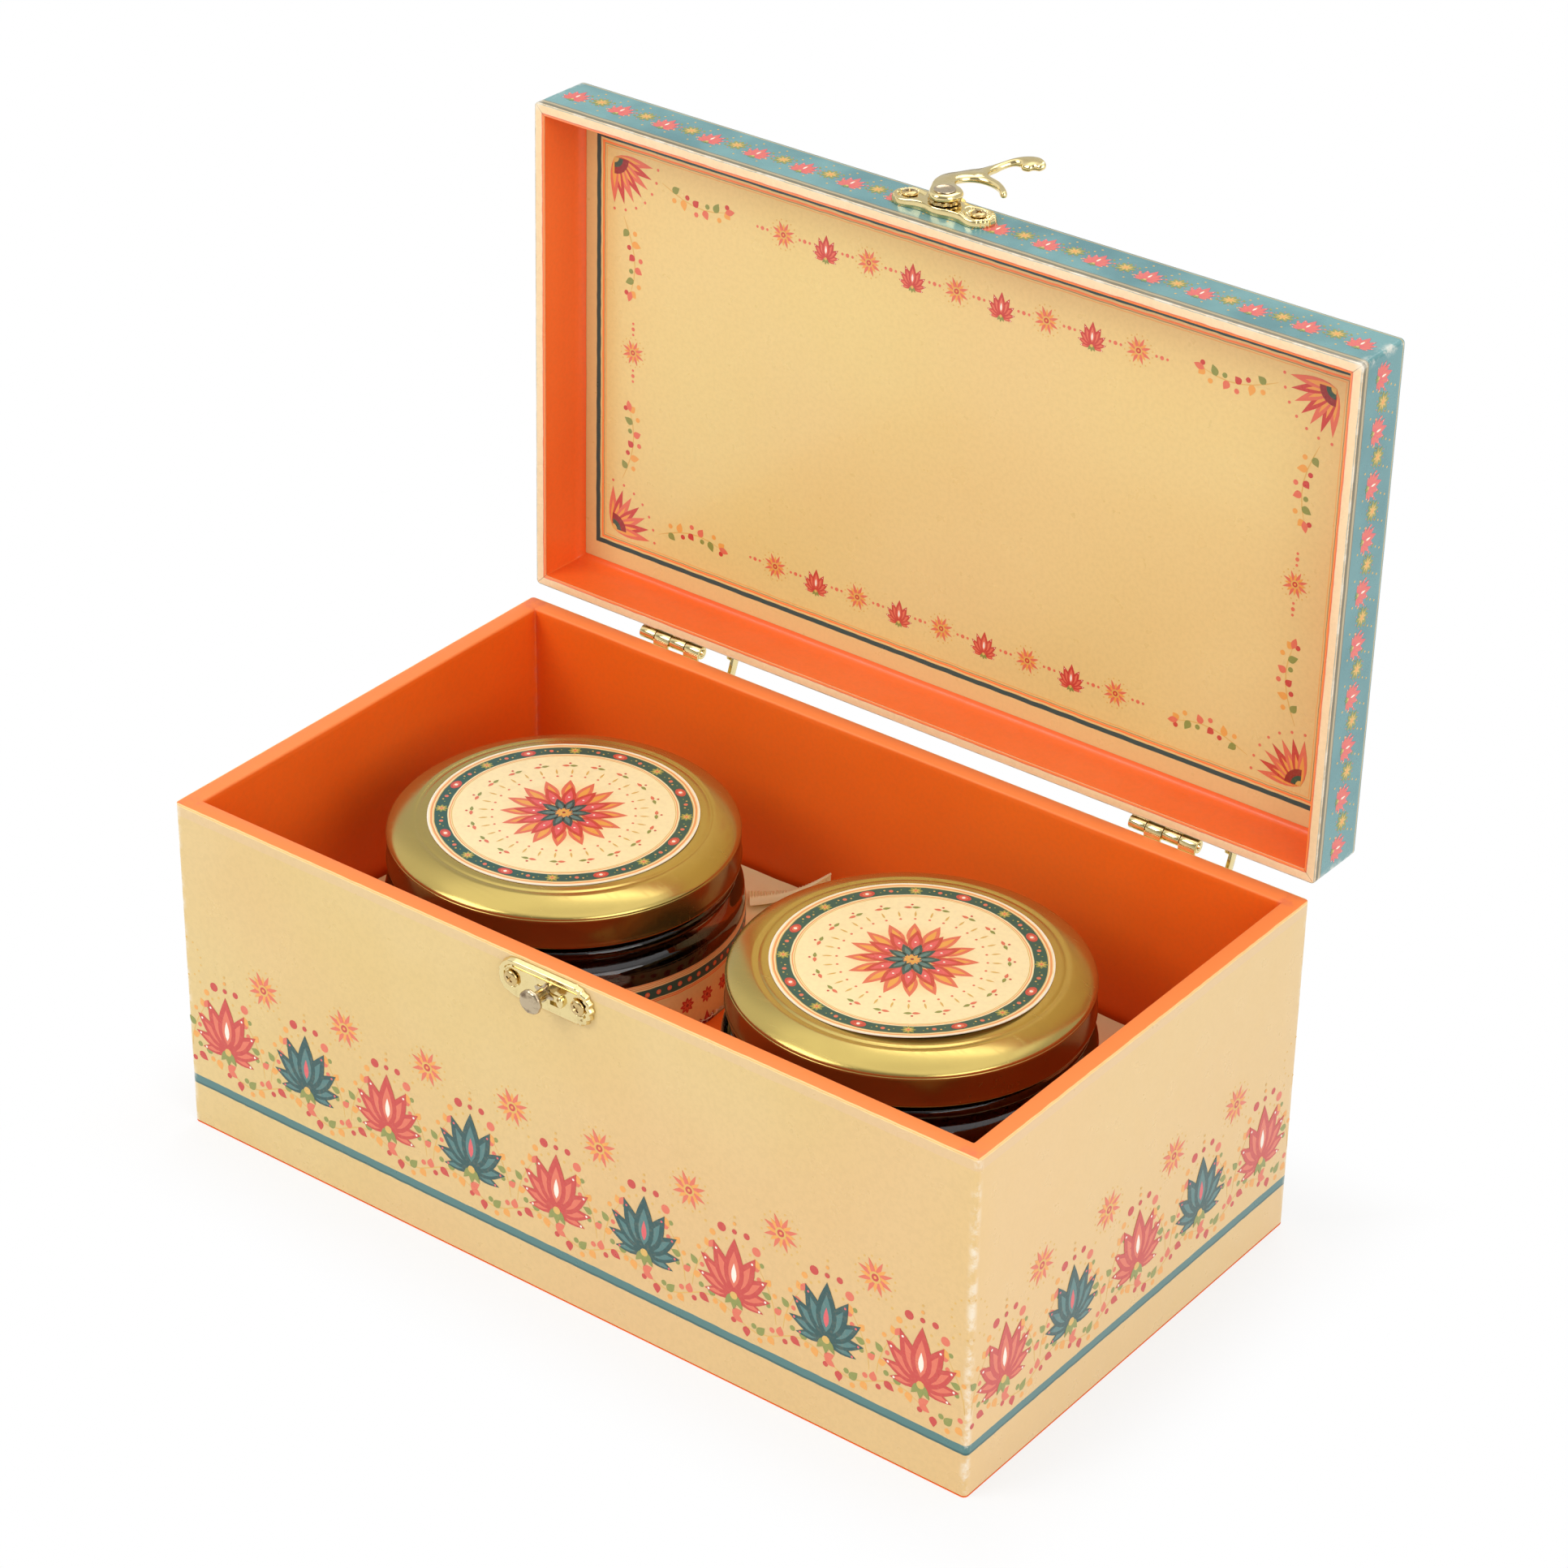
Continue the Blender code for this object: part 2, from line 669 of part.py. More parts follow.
def slot_path(steps=8):
    # Where the stay's lower pin runs on the box leaf, from lid closed to lid open
    path = []
    for step in range(steps + 1):
        lid_turn = math.radians(LID_OPEN * step / steps)
        stay_turn = math.radians(STAY_TURN * step / steps)
        pivot_y = STAY_PIVOT_OUT * math.cos(lid_turn) + STAY_PIVOT_HEIGHT * math.sin(lid_turn)
        pivot_z = STAY_PIVOT_HEIGHT * math.cos(lid_turn) - STAY_PIVOT_OUT * math.sin(lid_turn)
        path.append((pivot_y - STAY_LENGTH * math.sin(stay_turn), pivot_z - STAY_LENGTH * math.cos(stay_turn)))
    return path


def band(path, half_width, steps=4):
    # An outline at half_width round a path of (y, z) points, with round ends
    points = [Vector(point) for point in path]
    headings = []
    for i, point in enumerate(points):
        before = points[max(i - 1, 0)]
        after = points[min(i + 1, len(points) - 1)]
        headings.append((after - before).normalized())
    outline = []
    for point, heading in zip(points, headings):
        outline.append(point + Vector((heading.y, -heading.x)) * half_width)
    for end, heading, sweep in ((points[-1], headings[-1], 1.0), (points[0], -headings[0], 1.0)):
        start = math.atan2(-heading.x, heading.y)
        for step in range(1, steps):
            angle = start + sweep * math.pi * step / steps
            outline.append(end + Vector((math.cos(angle), math.sin(angle))) * half_width)
        if end is points[-1]:
            for point, back in zip(reversed(points), reversed(headings)):
                outline.append(point - Vector((back.y, -back.x)) * half_width)
    return [(point.x, point.y) for point in outline]


def hinge(side, centre, box_pieces, lid_pieces, lid_axis):
    lug_low = BARREL_LENGTH / 2.0 + STAY_SETBACK - LUG_THICKNESS
    lug_span = (lug_low, lug_low + LUG_THICKNESS)
    stay_low = lug_span[1] + STAY_SIDE_GAP
    bore = PIN_RADIUS + RUNNING_FIT
    box_place = (centre, AXIS_Y, AXIS_Z)
    lid_place = (centre, 0.0, 0.0)
    lug_root = -HINGE_PROUD + HARDWARE_GAP
    pivot = Vector((STAY_PIVOT_OUT, STAY_PIVOT_HEIGHT))
    path = slot_path()
    lug_reach = STAY_PIN_RADIUS + SLOT_CLEAR + LUG_WALL

    # Lid leaf: its lug carries the stay's pivot
    lid_leaf = add(f"hinge_{side}_lid_leaf", leaf_plate((0, 2), True), "brass", lid_axis, lid_place, smooth=30)
    lug = band([(lug_root + LEAF_THICKNESS / 2.0, pivot.y), (pivot.x, pivot.y)], lug_reach, 6)
    lug = [(max(y, lug_root), z) for y, z in lug]
    lug_tool = tool(f"hinge_{side}_lid_lug", upright(lug_span, lug), lid_axis, lid_place)
    combine(lid_leaf, lug_tool, "UNION")
    eye = band([(pivot.x, pivot.y), (pivot.x + GLUE, pivot.y)], STAY_PIN_RADIUS + SLOT_CLEAR, 6)
    eye_span = (lug_span[0] - LUG_THICKNESS, lug_span[1] + LUG_THICKNESS)
    combine(lid_leaf, tool(f"hinge_{side}_eye", upright(eye_span, eye), lid_axis, lid_place), "DIFFERENCE")

    # Box leaf: its lug has the curved slot
    box_leaf = add(f"hinge_{side}_box_leaf", leaf_plate((1, 3), False), "brass", None, box_place, smooth=30)
    top_z = max(z for _, z in path) + lug_reach
    low_z = min(z for _, z in path) - lug_reach
    out_y = max(y for y, _ in path) + lug_reach
    lug = [(lug_root, low_z), (out_y - LUG_WALL, low_z), (out_y, low_z + LUG_WALL)]
    lug += [(out_y, top_z - LUG_WALL), (out_y - LUG_WALL, top_z), (lug_root, top_z)]
    lug_tool = tool(f"hinge_{side}_box_lug", upright(lug_span, lug), None, box_place)
    combine(box_leaf, lug_tool, "UNION")
    slot = band(path, STAY_PIN_RADIUS + SLOT_CLEAR)
    combine(box_leaf, tool(f"hinge_{side}_slot", upright(eye_span, slot), None, box_place), "DIFFERENCE")

    for leaf, own, parent, place in (
        (lid_leaf, (0, 2), lid_axis, lid_place),
        (box_leaf, (1, 3), None, box_place),
    ):
        for index in own:
            low, high = knuckle_span(index)
            turn = (0.0, math.pi / 2.0, 0.0)
            barrel = tool(f"{leaf.name}_barrel_{index}", rod(KNUCKLE_RADIUS, low, high, 16), parent, place, turn)
            combine(leaf, barrel, "UNION")
        length = BARREL_LENGTH / 2.0 + KNUCKLE_GAP
        drill = tool(f"{leaf.name}_bore", rod(bore, -length, length, 16), parent, place, turn)
        combine(leaf, drill, "DIFFERENCE")

    # Pin with domed ends
    end = BARREL_LENGTH / 2.0
    profile = [
        (PIN_RADIUS * 0.5, -end - PIN_END),
        (PIN_RADIUS, -end),
        (PIN_RADIUS, end),
        (PIN_RADIUS * 0.5, end + PIN_END),
    ]
    add(f"hinge_{side}_pin", turned(profile, 12), "brass", None, box_place, (0.0, math.pi / 2.0, 0.0), smooth=35)

    # Stay: a strip with a pin at each end, turned as the open lid turns it
    stay_axis = empty(
        f"stay_{side}_axis",
        lid_axis,
        (centre, STAY_PIVOT_OUT, STAY_PIVOT_HEIGHT),
        (math.radians(LID_OPEN - STAY_TURN), 0.0, 0.0),
    )
    strip = band([(0.0, 0.0), (0.0, -STAY_LENGTH)], STAY_WIDTH / 2.0, 6)
    form = upright((stay_low, stay_low + STAY_THICKNESS), strip)
    stay = add(f"hinge_{side}_stay", form, "brass", stay_axis, smooth=30)
    pin_low = lug_low - STAY_PIN_END
    for number, z in ((1, 0.0), (2, -STAY_LENGTH)):
        pin = rod(STAY_PIN_RADIUS, pin_low, stay_low + STAY_THICKNESS / 2.0, 12)
        pin_tool = tool(f"stay_{side}_pin_{number}", pin, stay_axis, (0, 0, z), (0.0, math.pi / 2.0, 0.0))
        combine(stay, pin_tool, "UNION")

    # Two screws in each leaf
    low_x = -BARREL_LENGTH / 2.0 + LEAF_SCREW_MARGIN
    high_x = lug_low - LEAF_SCREW_MARGIN
    seat = -HINGE_PROUD + HARDWARE_GAP + LEAF_THICKNESS
    bite = LEAF_THICKNESS + HARDWARE_GAP + SKIN + SCREW_BITE
    height = LEAF_HEIGHT - LEAF_SCREW_MARGIN
    turn = (-math.pi / 2.0, 0.0, 0.0)
    for number, x in ((1, low_x), (2, high_x)):
        box_cut = [box_leaf, box_pieces["back_board"], box_pieces["outer_wrap"]]
        lid_cut = [lid_leaf, lid_pieces["lid_back_rail"], lid_pieces["lid_wrap"]]
        place = (centre + x, AXIS_Y, AXIS_Z - height)
        screw(f"hinge_{side}_box_screw_{number}", seat, bite, None, place, turn, box_cut)
        place = (centre + x, 0.0, height)
        screw(f"hinge_{side}_lid_screw_{number}", seat, bite, lid_axis, place, turn, lid_cut)


def lobed_outline(steps=40):
    # The latch plate: a lobe round each screw and one round the rivet, with fluted ends
    end = PLATE_SCREW_SPACING / 2.0
    reach = PLATE_LENGTH / 2.0
    points = []
    for i in range(steps):
        angle = 2.0 * math.pi * i / steps
        x = reach * math.cos(angle)
        lobe = math.sqrt(max(LATCH_LOBE**2 - (abs(x) - end) ** 2, 0.0))
        middle = math.sqrt(max((PLATE_WIDTH / 2.0) ** 2 - x * x, 0.0))
        waist = LATCH_WAIST if abs(x) < end else 0.0
        half = max(lobe, middle, waist)
        flute = 1.0 - 0.05 * (i % 2) * (abs(x) > end)
        points.append((x * flute, half * flute * (1.0 if math.sin(angle) >= 0.0 else -1.0)))
    return points


def stadium(length, width, steps=8):
    radius = width / 2.0
    points = []
    for start, side in ((-90.0, 1.0), (90.0, -1.0)):
        for step in range(steps + 1):
            angle = math.radians(start + 180.0 * step / steps)
            points.append((side * (length / 2.0 - radius) + radius * math.cos(angle), radius * math.sin(angle)))
    return points


def raised(outline, levels):
    # An outline lofted through (inset, height) levels
    rings = []
    for inset, z in levels:
        moved = inset_outline(outline, inset) if inset else outline
        rings.append([(x, y, z) for x, y in moved])
    return skin(rings)


def hook_outline():
    # The hook from its eye round the thumb tab and the prong, drawn from the rivet as it hangs open
    drawn = [
        (-3.4, -1.6),
        (-4.7, 0.9),
        (-6.0, 3.7),
        (-6.4, 6.7),
        (-5.8, 9.2),
        (-4.5, 11.5),
        (-3.1, 14.3),
        (-1.7, 16.5),
        (-0.8, 19.3),
        (0.7, 21.5),
        (2.3, 23.6),
        (4.3, 25.2),
        (6.7, 26.1),
        (9.0, 26.1),
        (10.9, 25.1),
        (11.6, 24.0),
        (10.8, 22.8),
        (9.2, 22.7),
        (8.3, 21.9),
        (6.5, 21.9),
        (5.3, 22.8),
        (3.6, 22.6),
        (2.0, 20.6),
        (1.3, 18.2),
        (1.6, 15.6),
        (3.0, 14.2),
        (6.6, 12.9),
        (9.2, 11.2),
        (10.9, 9.6),
        (11.7, 8.3),
        (11.1, 7.5),
        (10.1, 7.9),
        (8.1, 9.8),
        (5.4, 11.0),
        (2.8, 11.3),
        (0.8, 10.8),
        (-0.8, 9.4),
        (-1.6, 7.4),
        (-0.4, 5.2),
        (2.6, 3.6),
        (4.1, 1.4),
        (3.6, -2.0),
        (1.0, -3.9),
        (-1.6, -3.6),
    ]
    scale = HOOK_REACH / HOOK_DRAWN_REACH
    points = [(x * scale, z * scale) for x, z in reversed(drawn)]
    return smooth_outline(points, 2)


def latch(lid_pieces, lid_axis):
    face = (LATCH_X, LID_FRONT_Y, LID_RIM_Z + LATCH_RISE)
    turn = (math.pi / 2.0, 0.0, 0.0)
    levels = [
        (0.0, LATCH_SEAT),
        (0.0, LATCH_SEAT + LATCH_PLATE_THICKNESS * 0.55),
        (RIM_WIDTH * 0.4, LATCH_SEAT + LATCH_PLATE_THICKNESS * 0.9),
        (RIM_WIDTH, LATCH_SEAT + LATCH_PLATE_THICKNESS),
    ]
    plate = add("latch_plate", raised(lobed_outline(), levels), "brass", lid_axis, face, turn, smooth=35)
    for number, side in ((1, -1), (2, 1)):
        place = (face[0] + side * PLATE_SCREW_SPACING / 2.0, face[1], face[2])
        bite = LATCH_PLATE_THICKNESS + HARDWARE_GAP + SKIN + SCREW_BITE
        cuts = [plate, lid_pieces["lid_front_rail"], lid_pieces["lid_wrap"]]
        seat = LATCH_SEAT + LATCH_PLATE_THICKNESS
        screw(f"latch_screw_{number}", seat, bite, lid_axis, place, turn, cuts)

    def notched(angle):
        wave = math.cos(WASHER_NOTCHES * angle)
        return WASHER_RADIUS * (1.0 - 0.05 * (1.0 - wave))

    hole = RIVET_RADIUS + RUNNING_FIT
    washer = turned(
        [
            (hole, WASHER_SEAT),
            (notched, WASHER_SEAT),
            (notched, WASHER_SEAT + WASHER_THICKNESS * 0.7),
            (WASHER_RADIUS * 0.82, WASHER_SEAT + WASHER_THICKNESS),
            (hole, WASHER_SEAT + WASHER_THICKNESS),
        ],
        WASHER_NOTCHES * 2,
        closed=True,
    )
    add("latch_washer", washer, "worn_brass", lid_axis, face, turn, smooth=35)

    head_low = HOOK_FRONT + STACK_GAP
    rivet = [
        (RIVET_RADIUS, LATCH_SEAT),
        (RIVET_RADIUS, head_low),
        (RIVET_HEAD_RADIUS, head_low),
        (RIVET_HEAD_RADIUS, head_low + RIVET_HEAD * 0.5),
        (RIVET_HEAD_RADIUS * 0.8, head_low + RIVET_HEAD),
        (RIVET_HEAD_RADIUS * 0.3, head_low + RIVET_HEAD * 0.8),
    ]
    add("latch_rivet", turned(rivet, 20), "brass", lid_axis, face, turn, smooth=35)
    bore = rod(hole, LATCH_SEAT - GLUE, HOOK_SEAT, 20)
    combine(plate, tool("rivet_hole", bore, lid_axis, face, turn), "DIFFERENCE")

    # The hook's thumb end lifts away from the box so that a finger can get behind it
    hook_axis = empty("hook_axis", lid_axis, face)
    outline = hook_outline()
    rings = []
    for inset, share in ((HOOK_EDGE, 0.0), (0.0, 0.28), (0.0, 0.72), (HOOK_EDGE, 1.0)):
        ring = []
        for x, z in inset_outline(outline, inset) if inset else outline:
            lift = HOOK_LIFT * max(math.hypot(x, z) - HOOK_REACH - STUD_HEAD_RADIUS, 0.0)
            ring.append((x, z, HOOK_SEAT + HOOK_THICKNESS * share + lift))
        rings.append(ring)
    hook = add("latch_hook", skin(rings), "brass", hook_axis, (0, 0, 0), turn, smooth=40)
    eye = rod(hole, HOOK_SEAT - HOOK_THICKNESS, HOOK_FRONT + HOOK_THICKNESS, 20)
    combine(hook, tool("hook_eye", eye, hook_axis, (0, 0, 0), turn), "DIFFERENCE")


def catch(box_pieces):
    face = (LATCH_X, -BOX_DEPTH / 2.0, BOX_HEIGHT - CATCH_DROP)
    turn = (math.pi / 2.0, 0.0, 0.0)
    top = LATCH_SEAT + PLATE_THICKNESS
    levels = [
        (0.0, LATCH_SEAT),
        (0.0, top - RIM_WIDTH * 0.5),
        (RIM_WIDTH * 0.5, top),
        (RIM_WIDTH * 1.5, top),
        (RIM_WIDTH * 2.0, top - RIM_WIDTH * 0.5),
    ]
    outline = []
    for number, (x, z) in enumerate(stadium(PLATE_LENGTH, PLATE_WIDTH, 10)):
        end = abs(x) > (PLATE_LENGTH - PLATE_WIDTH) / 2.0
        flute = 1.0 - FLUTE / PLATE_WIDTH * 2.0 * (number % 2) * end
        outline.append((x * flute, z * flute))
    form = raised(outline, levels)
    plate = add("catch_plate", form, "brass", None, face, turn, smooth=35)
    floor = levels[-1][1]
    for number, side in ((1, -1), (2, 1)):
        place = (face[0] + side * PLATE_SCREW_SPACING / 2.0, face[1], face[2])
        bite = floor - LATCH_SEAT + HARDWARE_GAP + SKIN + SCREW_BITE
        cuts = [plate, box_pieces["front_board"], box_pieces["outer_wrap"]]
        screw(f"catch_screw_{number}", floor, bite, None, place, turn, cuts)

    # A bump and the pocket it was pressed from stand beside the stud
    pocket_x = STUD_NECK_RADIUS + POCKET_WIDTH / 2.0 + GLUE
    bump_x = pocket_x + POCKET_WIDTH / 2.0 + BUMP_RADIUS * 0.6
    bump = turned(
        [
            (BUMP_RADIUS, LATCH_SEAT + GLUE),
            (BUMP_RADIUS, floor + BUMP_HEIGHT * 0.4),
            (BUMP_RADIUS * 0.7, floor + BUMP_HEIGHT * 0.85),
            (BUMP_RADIUS * 0.25, floor + BUMP_HEIGHT),
        ],
        12,
    )
    place = (face[0] + bump_x, face[1], face[2])
    combine(plate, tool("catch_bump", bump, None, place, turn), "UNION")
    half = POCKET_WIDTH / 2.0
    tall = POCKET_HEIGHT / 2.0
    pocket = slab((-half, -tall, LATCH_SEAT - GLUE), (half, tall, top + BUMP_HEIGHT), (0, 0, 0, 0))
    place = (face[0] + pocket_x - GLUE, face[1], face[2])
    combine(plate, tool("catch_pocket", pocket, None, place, turn), "DIFFERENCE")

    reach = GROOVE_LENGTH / 2.0
    groove_z = PLATE_WIDTH / 2.0 - RIM_WIDTH * 2.0 - GROOVE_WIDTH
    groove_low = floor - GROOVE_WIDTH * 0.5
    form = slab((-reach, groove_z, groove_low), (reach, groove_z + GROOVE_WIDTH, top), (0, 0, 0, 0))
    combine(plate, tool("catch_groove", form, None, face, turn), "DIFFERENCE")

    head_low = HOOK_FRONT + STACK_GAP
    stud = [
        (STUD_NECK_RADIUS * 0.8, LATCH_SEAT),
        (STUD_NECK_RADIUS * 0.8, floor + HARDWARE_GAP),
        (STUD_NECK_RADIUS, floor + HARDWARE_GAP),
        (STUD_NECK_RADIUS, head_low),
        (STUD_HEAD_RADIUS * 0.85, head_low),
        (STUD_HEAD_RADIUS, head_low + STUD_HEAD * 0.3),
        (STUD_HEAD_RADIUS * 0.9, head_low + STUD_HEAD * 0.75),
        (STUD_HEAD_RADIUS * 0.45, head_low + STUD_HEAD),
    ]
    add("catch_stud", turned(stud, 20), "worn_brass", None, face, turn, smooth=35)
    bore = rod(STUD_NECK_RADIUS * 0.8 + GLUE, LATCH_SEAT - GLUE, top, 20)
    combine(plate, tool("stud_hole", bore, None, face, turn), "DIFFERENCE")


def thread(z, low):
    # The radius of the jar's finish at height z, with short slanting ridges that start above low
    def reach(angle):
        share = (angle * THREAD_STARTS / (2.0 * math.pi)) % 1.0
        middle = low + THREAD_WIDTH / 2.0 + THREAD_RISE * share
        ridge = max(1.0 - abs(z - middle) / (THREAD_WIDTH / 2.0), 0.0)
        fade = min(min(share, 1.0 - share) * 8.0, 1.0)
        return FINISH_RADIUS + THREAD_DEPTH * min(ridge * 1.6, 1.0) * fade

    return reach


def jar_profiles():
    # Outer and inner outlines of the glass, from the middle of the base to the rim
    lip = FINISH_LIP
    neck_z = JAR_HEIGHT - FINISH_HEIGHT
    bead_low = neck_z - BEAD_HEIGHT
    foot = JAR_RADIUS - JAR_HEEL
    outer = [(foot * 0.8, JAR_PUSH_UP), (foot, 0.0)]
    for step in range(1, 4):
        angle = math.radians(30.0 * step)
        outer.append((foot + JAR_HEEL * math.sin(angle), JAR_HEEL * (1.0 - math.cos(angle))))
    shoulder = bead_low - JAR_SHOULDER
    outer.append((JAR_RADIUS, JAR_SHOULDER))
    for share in (0.4, 0.75, 1.0):
        drop = (JAR_RADIUS - FINISH_RADIUS) * share * share
        outer.append((JAR_RADIUS - drop, JAR_SHOULDER + shoulder * math.sqrt(share) * 0.85))
    outer += [(BEAD_RADIUS, bead_low + lip * 0.4), (BEAD_RADIUS, neck_z - lip), (FINISH_RADIUS, neck_z)]
    thread_low = neck_z + lip * 0.5
    for row in range(THREAD_ROWS):
        z = thread_low + (JAR_HEIGHT - lip - thread_low) * row / (THREAD_ROWS - 1)
        outer.append((thread(z, thread_low), z))
    outer.append((FINISH_RADIUS - lip * 0.7, JAR_HEIGHT))
    inner = [
        (JAR_MOUTH + lip * 0.5, JAR_HEIGHT),
        (JAR_MOUTH, JAR_HEIGHT - lip),
        (JAR_MOUTH, bead_low),
        (JAR_RADIUS - JAR_WALL - lip, JAR_SHOULDER),
        (JAR_RADIUS - JAR_WALL, JAR_SHOULDER - JAR_HEEL),
        (JAR_RADIUS - JAR_WALL, JAR_BASE + JAR_HEEL * 0.8),
        (JAR_RADIUS - JAR_WALL - JAR_HEEL * 0.4, JAR_BASE + JAR_HEEL * 0.2),
        (foot * 0.8, JAR_BASE),
    ]
    return outer, inner


def jar(number, centre):
    seat = empty(f"jar_{number}_axis", None, (centre, 0.0, JAR_SEAT_Z))
    outer, inner = jar_profiles()
    add(f"jar_{number}_glass", turned(outer + inner, JAR_SIDES), "glass", seat, smooth=50)

    # Contents fill the inside up into the neck, leaving a headspace under the cap
    fill = []
    for radius, z in reversed(inner):
        if z < FILL_HEIGHT - FILL_GAP:
            fill.append((radius - FILL_GAP, z + FILL_GAP))
    edge = min(fill[-1][0] - FILL_EDGE, JAR_MOUTH)
    fill += [(edge, FILL_HEIGHT - FILL_EDGE), (edge - FILL_EDGE, FILL_HEIGHT)]
    add(f"jar_{number}_contents", turned(fill, JAR_SIDES), "preserve", seat, smooth=50)

    label = [
        (JAR_RADIUS + GLUE * 0.5, JAR_LABEL_LOW),
        (JAR_RADIUS + PAPER, JAR_LABEL_LOW),
        (JAR_RADIUS + PAPER, JAR_LABEL_HIGH),
        (JAR_RADIUS + GLUE * 0.5, JAR_LABEL_HIGH),
    ]
    add(f"jar_{number}_label", turned(label, JAR_SIDES, closed=True), "label", seat, smooth=50)
    cap(number, seat)


def cap(number, seat):
    frame = empty(f"cap_{number}_axis", seat, (0.0, 0.0, CAP_SEAT))
    panel = CAP_HEIGHT + CAP_DOME
    tin = CAP_TIN
    ring_in = CAP_PANEL_RADIUS + CAP_RING
    groove = CAP_PANEL_RADIUS + CAP_RING * 0.5
    shoulder = CAP_SHOULDER

    def lugged(angle):
        turn = math.degrees(angle) % (360.0 / CAP_LUGS)
        return CAP_RADIUS - tin - (LUG_REACH if turn < LUG_SPAN else 0.0)

    # The ring falls from the raised panel to the skirt: shares of its width and of its fall
    curve = [(0.0, 0.03), (0.25, 0.13), (0.5, 0.3), (0.7, 0.49), (0.87, 0.71), (1.0, 1.0)]
    fall = CAP_DOME + shoulder * 1.25
    ring = [(ring_in + (CAP_RADIUS - ring_in) * across, panel - fall * down) for across, down in curve]
    under = [(radius - tin * 0.35, z - tin) for radius, z in ring[:-1]]
    outside = [(CAP_PANEL_RADIUS, panel), (groove, panel - CAP_GROOVE)]
    outside += ring
    outside += [
        (CAP_RADIUS, shoulder),
        (CAP_RADIUS + tin * 0.5, shoulder * 0.5),
        (CAP_RADIUS - tin * 0.3, 0.0),
    ]
    inside = [
        (lugged, 0.0),
        (lugged, shoulder * 0.7),
        (CAP_RADIUS - tin, shoulder),
        (CAP_RADIUS - tin, ring[-1][1] - tin * 0.5),
    ]
    inside += reversed(under)
    inside += [(groove, panel - CAP_GROOVE - tin), (CAP_PANEL_RADIUS - tin, panel - tin)]
    add(f"jar_{number}_cap", turned(outside + inside, JAR_SIDES), "gold_tin", frame, smooth=40)

    # The sealing ring fills the hollow under the ring, down to the mouth of the jar
    def seal_top(radius):
        across = (radius - ring_in) / (CAP_RADIUS - ring_in)
        for (a, low), (b, high) in zip(curve, curve[1:]):
            if across <= b:
                down = low + (high - low) * (across - a) / (b - a)
                return panel - fall * down - tin - REST_GAP * 1.4
        return panel - fall - tin

    seal_low = CAP_HEIGHT - tin - REST_GAP - GASKET_THICKNESS
    middle = (JAR_MOUTH + FINISH_RADIUS) / 2.0
    gasket = [
        (JAR_MOUTH, seal_low),
        (FINISH_RADIUS, seal_low),
        (FINISH_RADIUS, seal_top(FINISH_RADIUS)),
        (middle, seal_top(middle)),
        (JAR_MOUTH, seal_top(JAR_MOUTH)),
    ]
    add(f"jar_{number}_gasket", turned(gasket, JAR_SIDES, closed=True), "seal", frame, smooth=50)
    disc = rod(CAP_LABEL_RADIUS, panel + GLUE, panel + GLUE + PAPER, JAR_SIDES)
    add(f"jar_{number}_cap_label", disc, "label", frame)


def build():
    clear_scene()
    box_pieces = box_body()
    insert()
    ruffle()
    lid_axis = empty("lid_axis", None, (0.0, AXIS_Y, AXIS_Z), (-math.radians(LID_OPEN), 0.0, 0.0))
    lid_pieces = lid_body(lid_axis)
    for side, sign in (("left", -1), ("right", 1)):
        centre = HINGE_SHIFT + sign * (BOX_LENGTH / 2.0 - HINGE_INSET)
        hinge(side, centre, box_pieces, lid_pieces, lid_axis)
    latch(lid_pieces, lid_axis)
    catch(box_pieces)
    for number, sign in ((1, -1), (2, 1)):
        jar(number, sign * JAR_SPACING / 2.0)


build()
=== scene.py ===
import math

import bmesh
import bpy
from mathutils import Matrix, Vector, noise
from mathutils.geometry import delaunay_2d_cdt


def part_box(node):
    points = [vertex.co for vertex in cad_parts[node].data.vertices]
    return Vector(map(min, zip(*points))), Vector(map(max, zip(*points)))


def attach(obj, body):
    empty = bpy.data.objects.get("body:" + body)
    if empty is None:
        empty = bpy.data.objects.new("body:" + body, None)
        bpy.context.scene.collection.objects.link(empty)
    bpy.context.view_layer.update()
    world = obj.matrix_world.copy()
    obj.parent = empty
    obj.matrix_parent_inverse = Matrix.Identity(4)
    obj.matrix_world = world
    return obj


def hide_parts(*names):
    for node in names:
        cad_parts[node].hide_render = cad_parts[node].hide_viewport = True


# Jar gift box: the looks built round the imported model. Sizes in the dictionaries are millimetres,
# apart from the distances of the studio, the lamps and the camera, which are metres.
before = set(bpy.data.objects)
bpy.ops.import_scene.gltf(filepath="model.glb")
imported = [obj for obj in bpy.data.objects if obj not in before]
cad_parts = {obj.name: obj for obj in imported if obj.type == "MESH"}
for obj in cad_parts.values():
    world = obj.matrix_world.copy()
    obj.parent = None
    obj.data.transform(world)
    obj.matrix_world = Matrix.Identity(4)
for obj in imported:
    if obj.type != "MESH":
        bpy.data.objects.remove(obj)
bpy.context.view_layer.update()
mm = 0.001

box = {"halfX": 117.5, "halfY": 66.0, "height": 92.0, "wall": 4.7, "skin": 0.35, "corner": 1.2}
lid = {"halfX": 117.5, "halfY": 66.0, "middleY": -68.2, "rimZ": -0.7, "topZ": 17.3, "wall": 3.05}
hinges = {"axisY": 68.2, "axisZ": 93.1, "open": 91.0, "centres": (-73.0, 76.0), "proud": 2.2}
jars = {"spacing": 104.2, "seatZ": 4.0, "capSeat": 67.1, "sides": 96}
fittings = {"x": -1.7, "latchY": -134.2, "latchZ": 9.1, "catchY": -66.0, "catchZ": 86.0, "screws": 19.6}

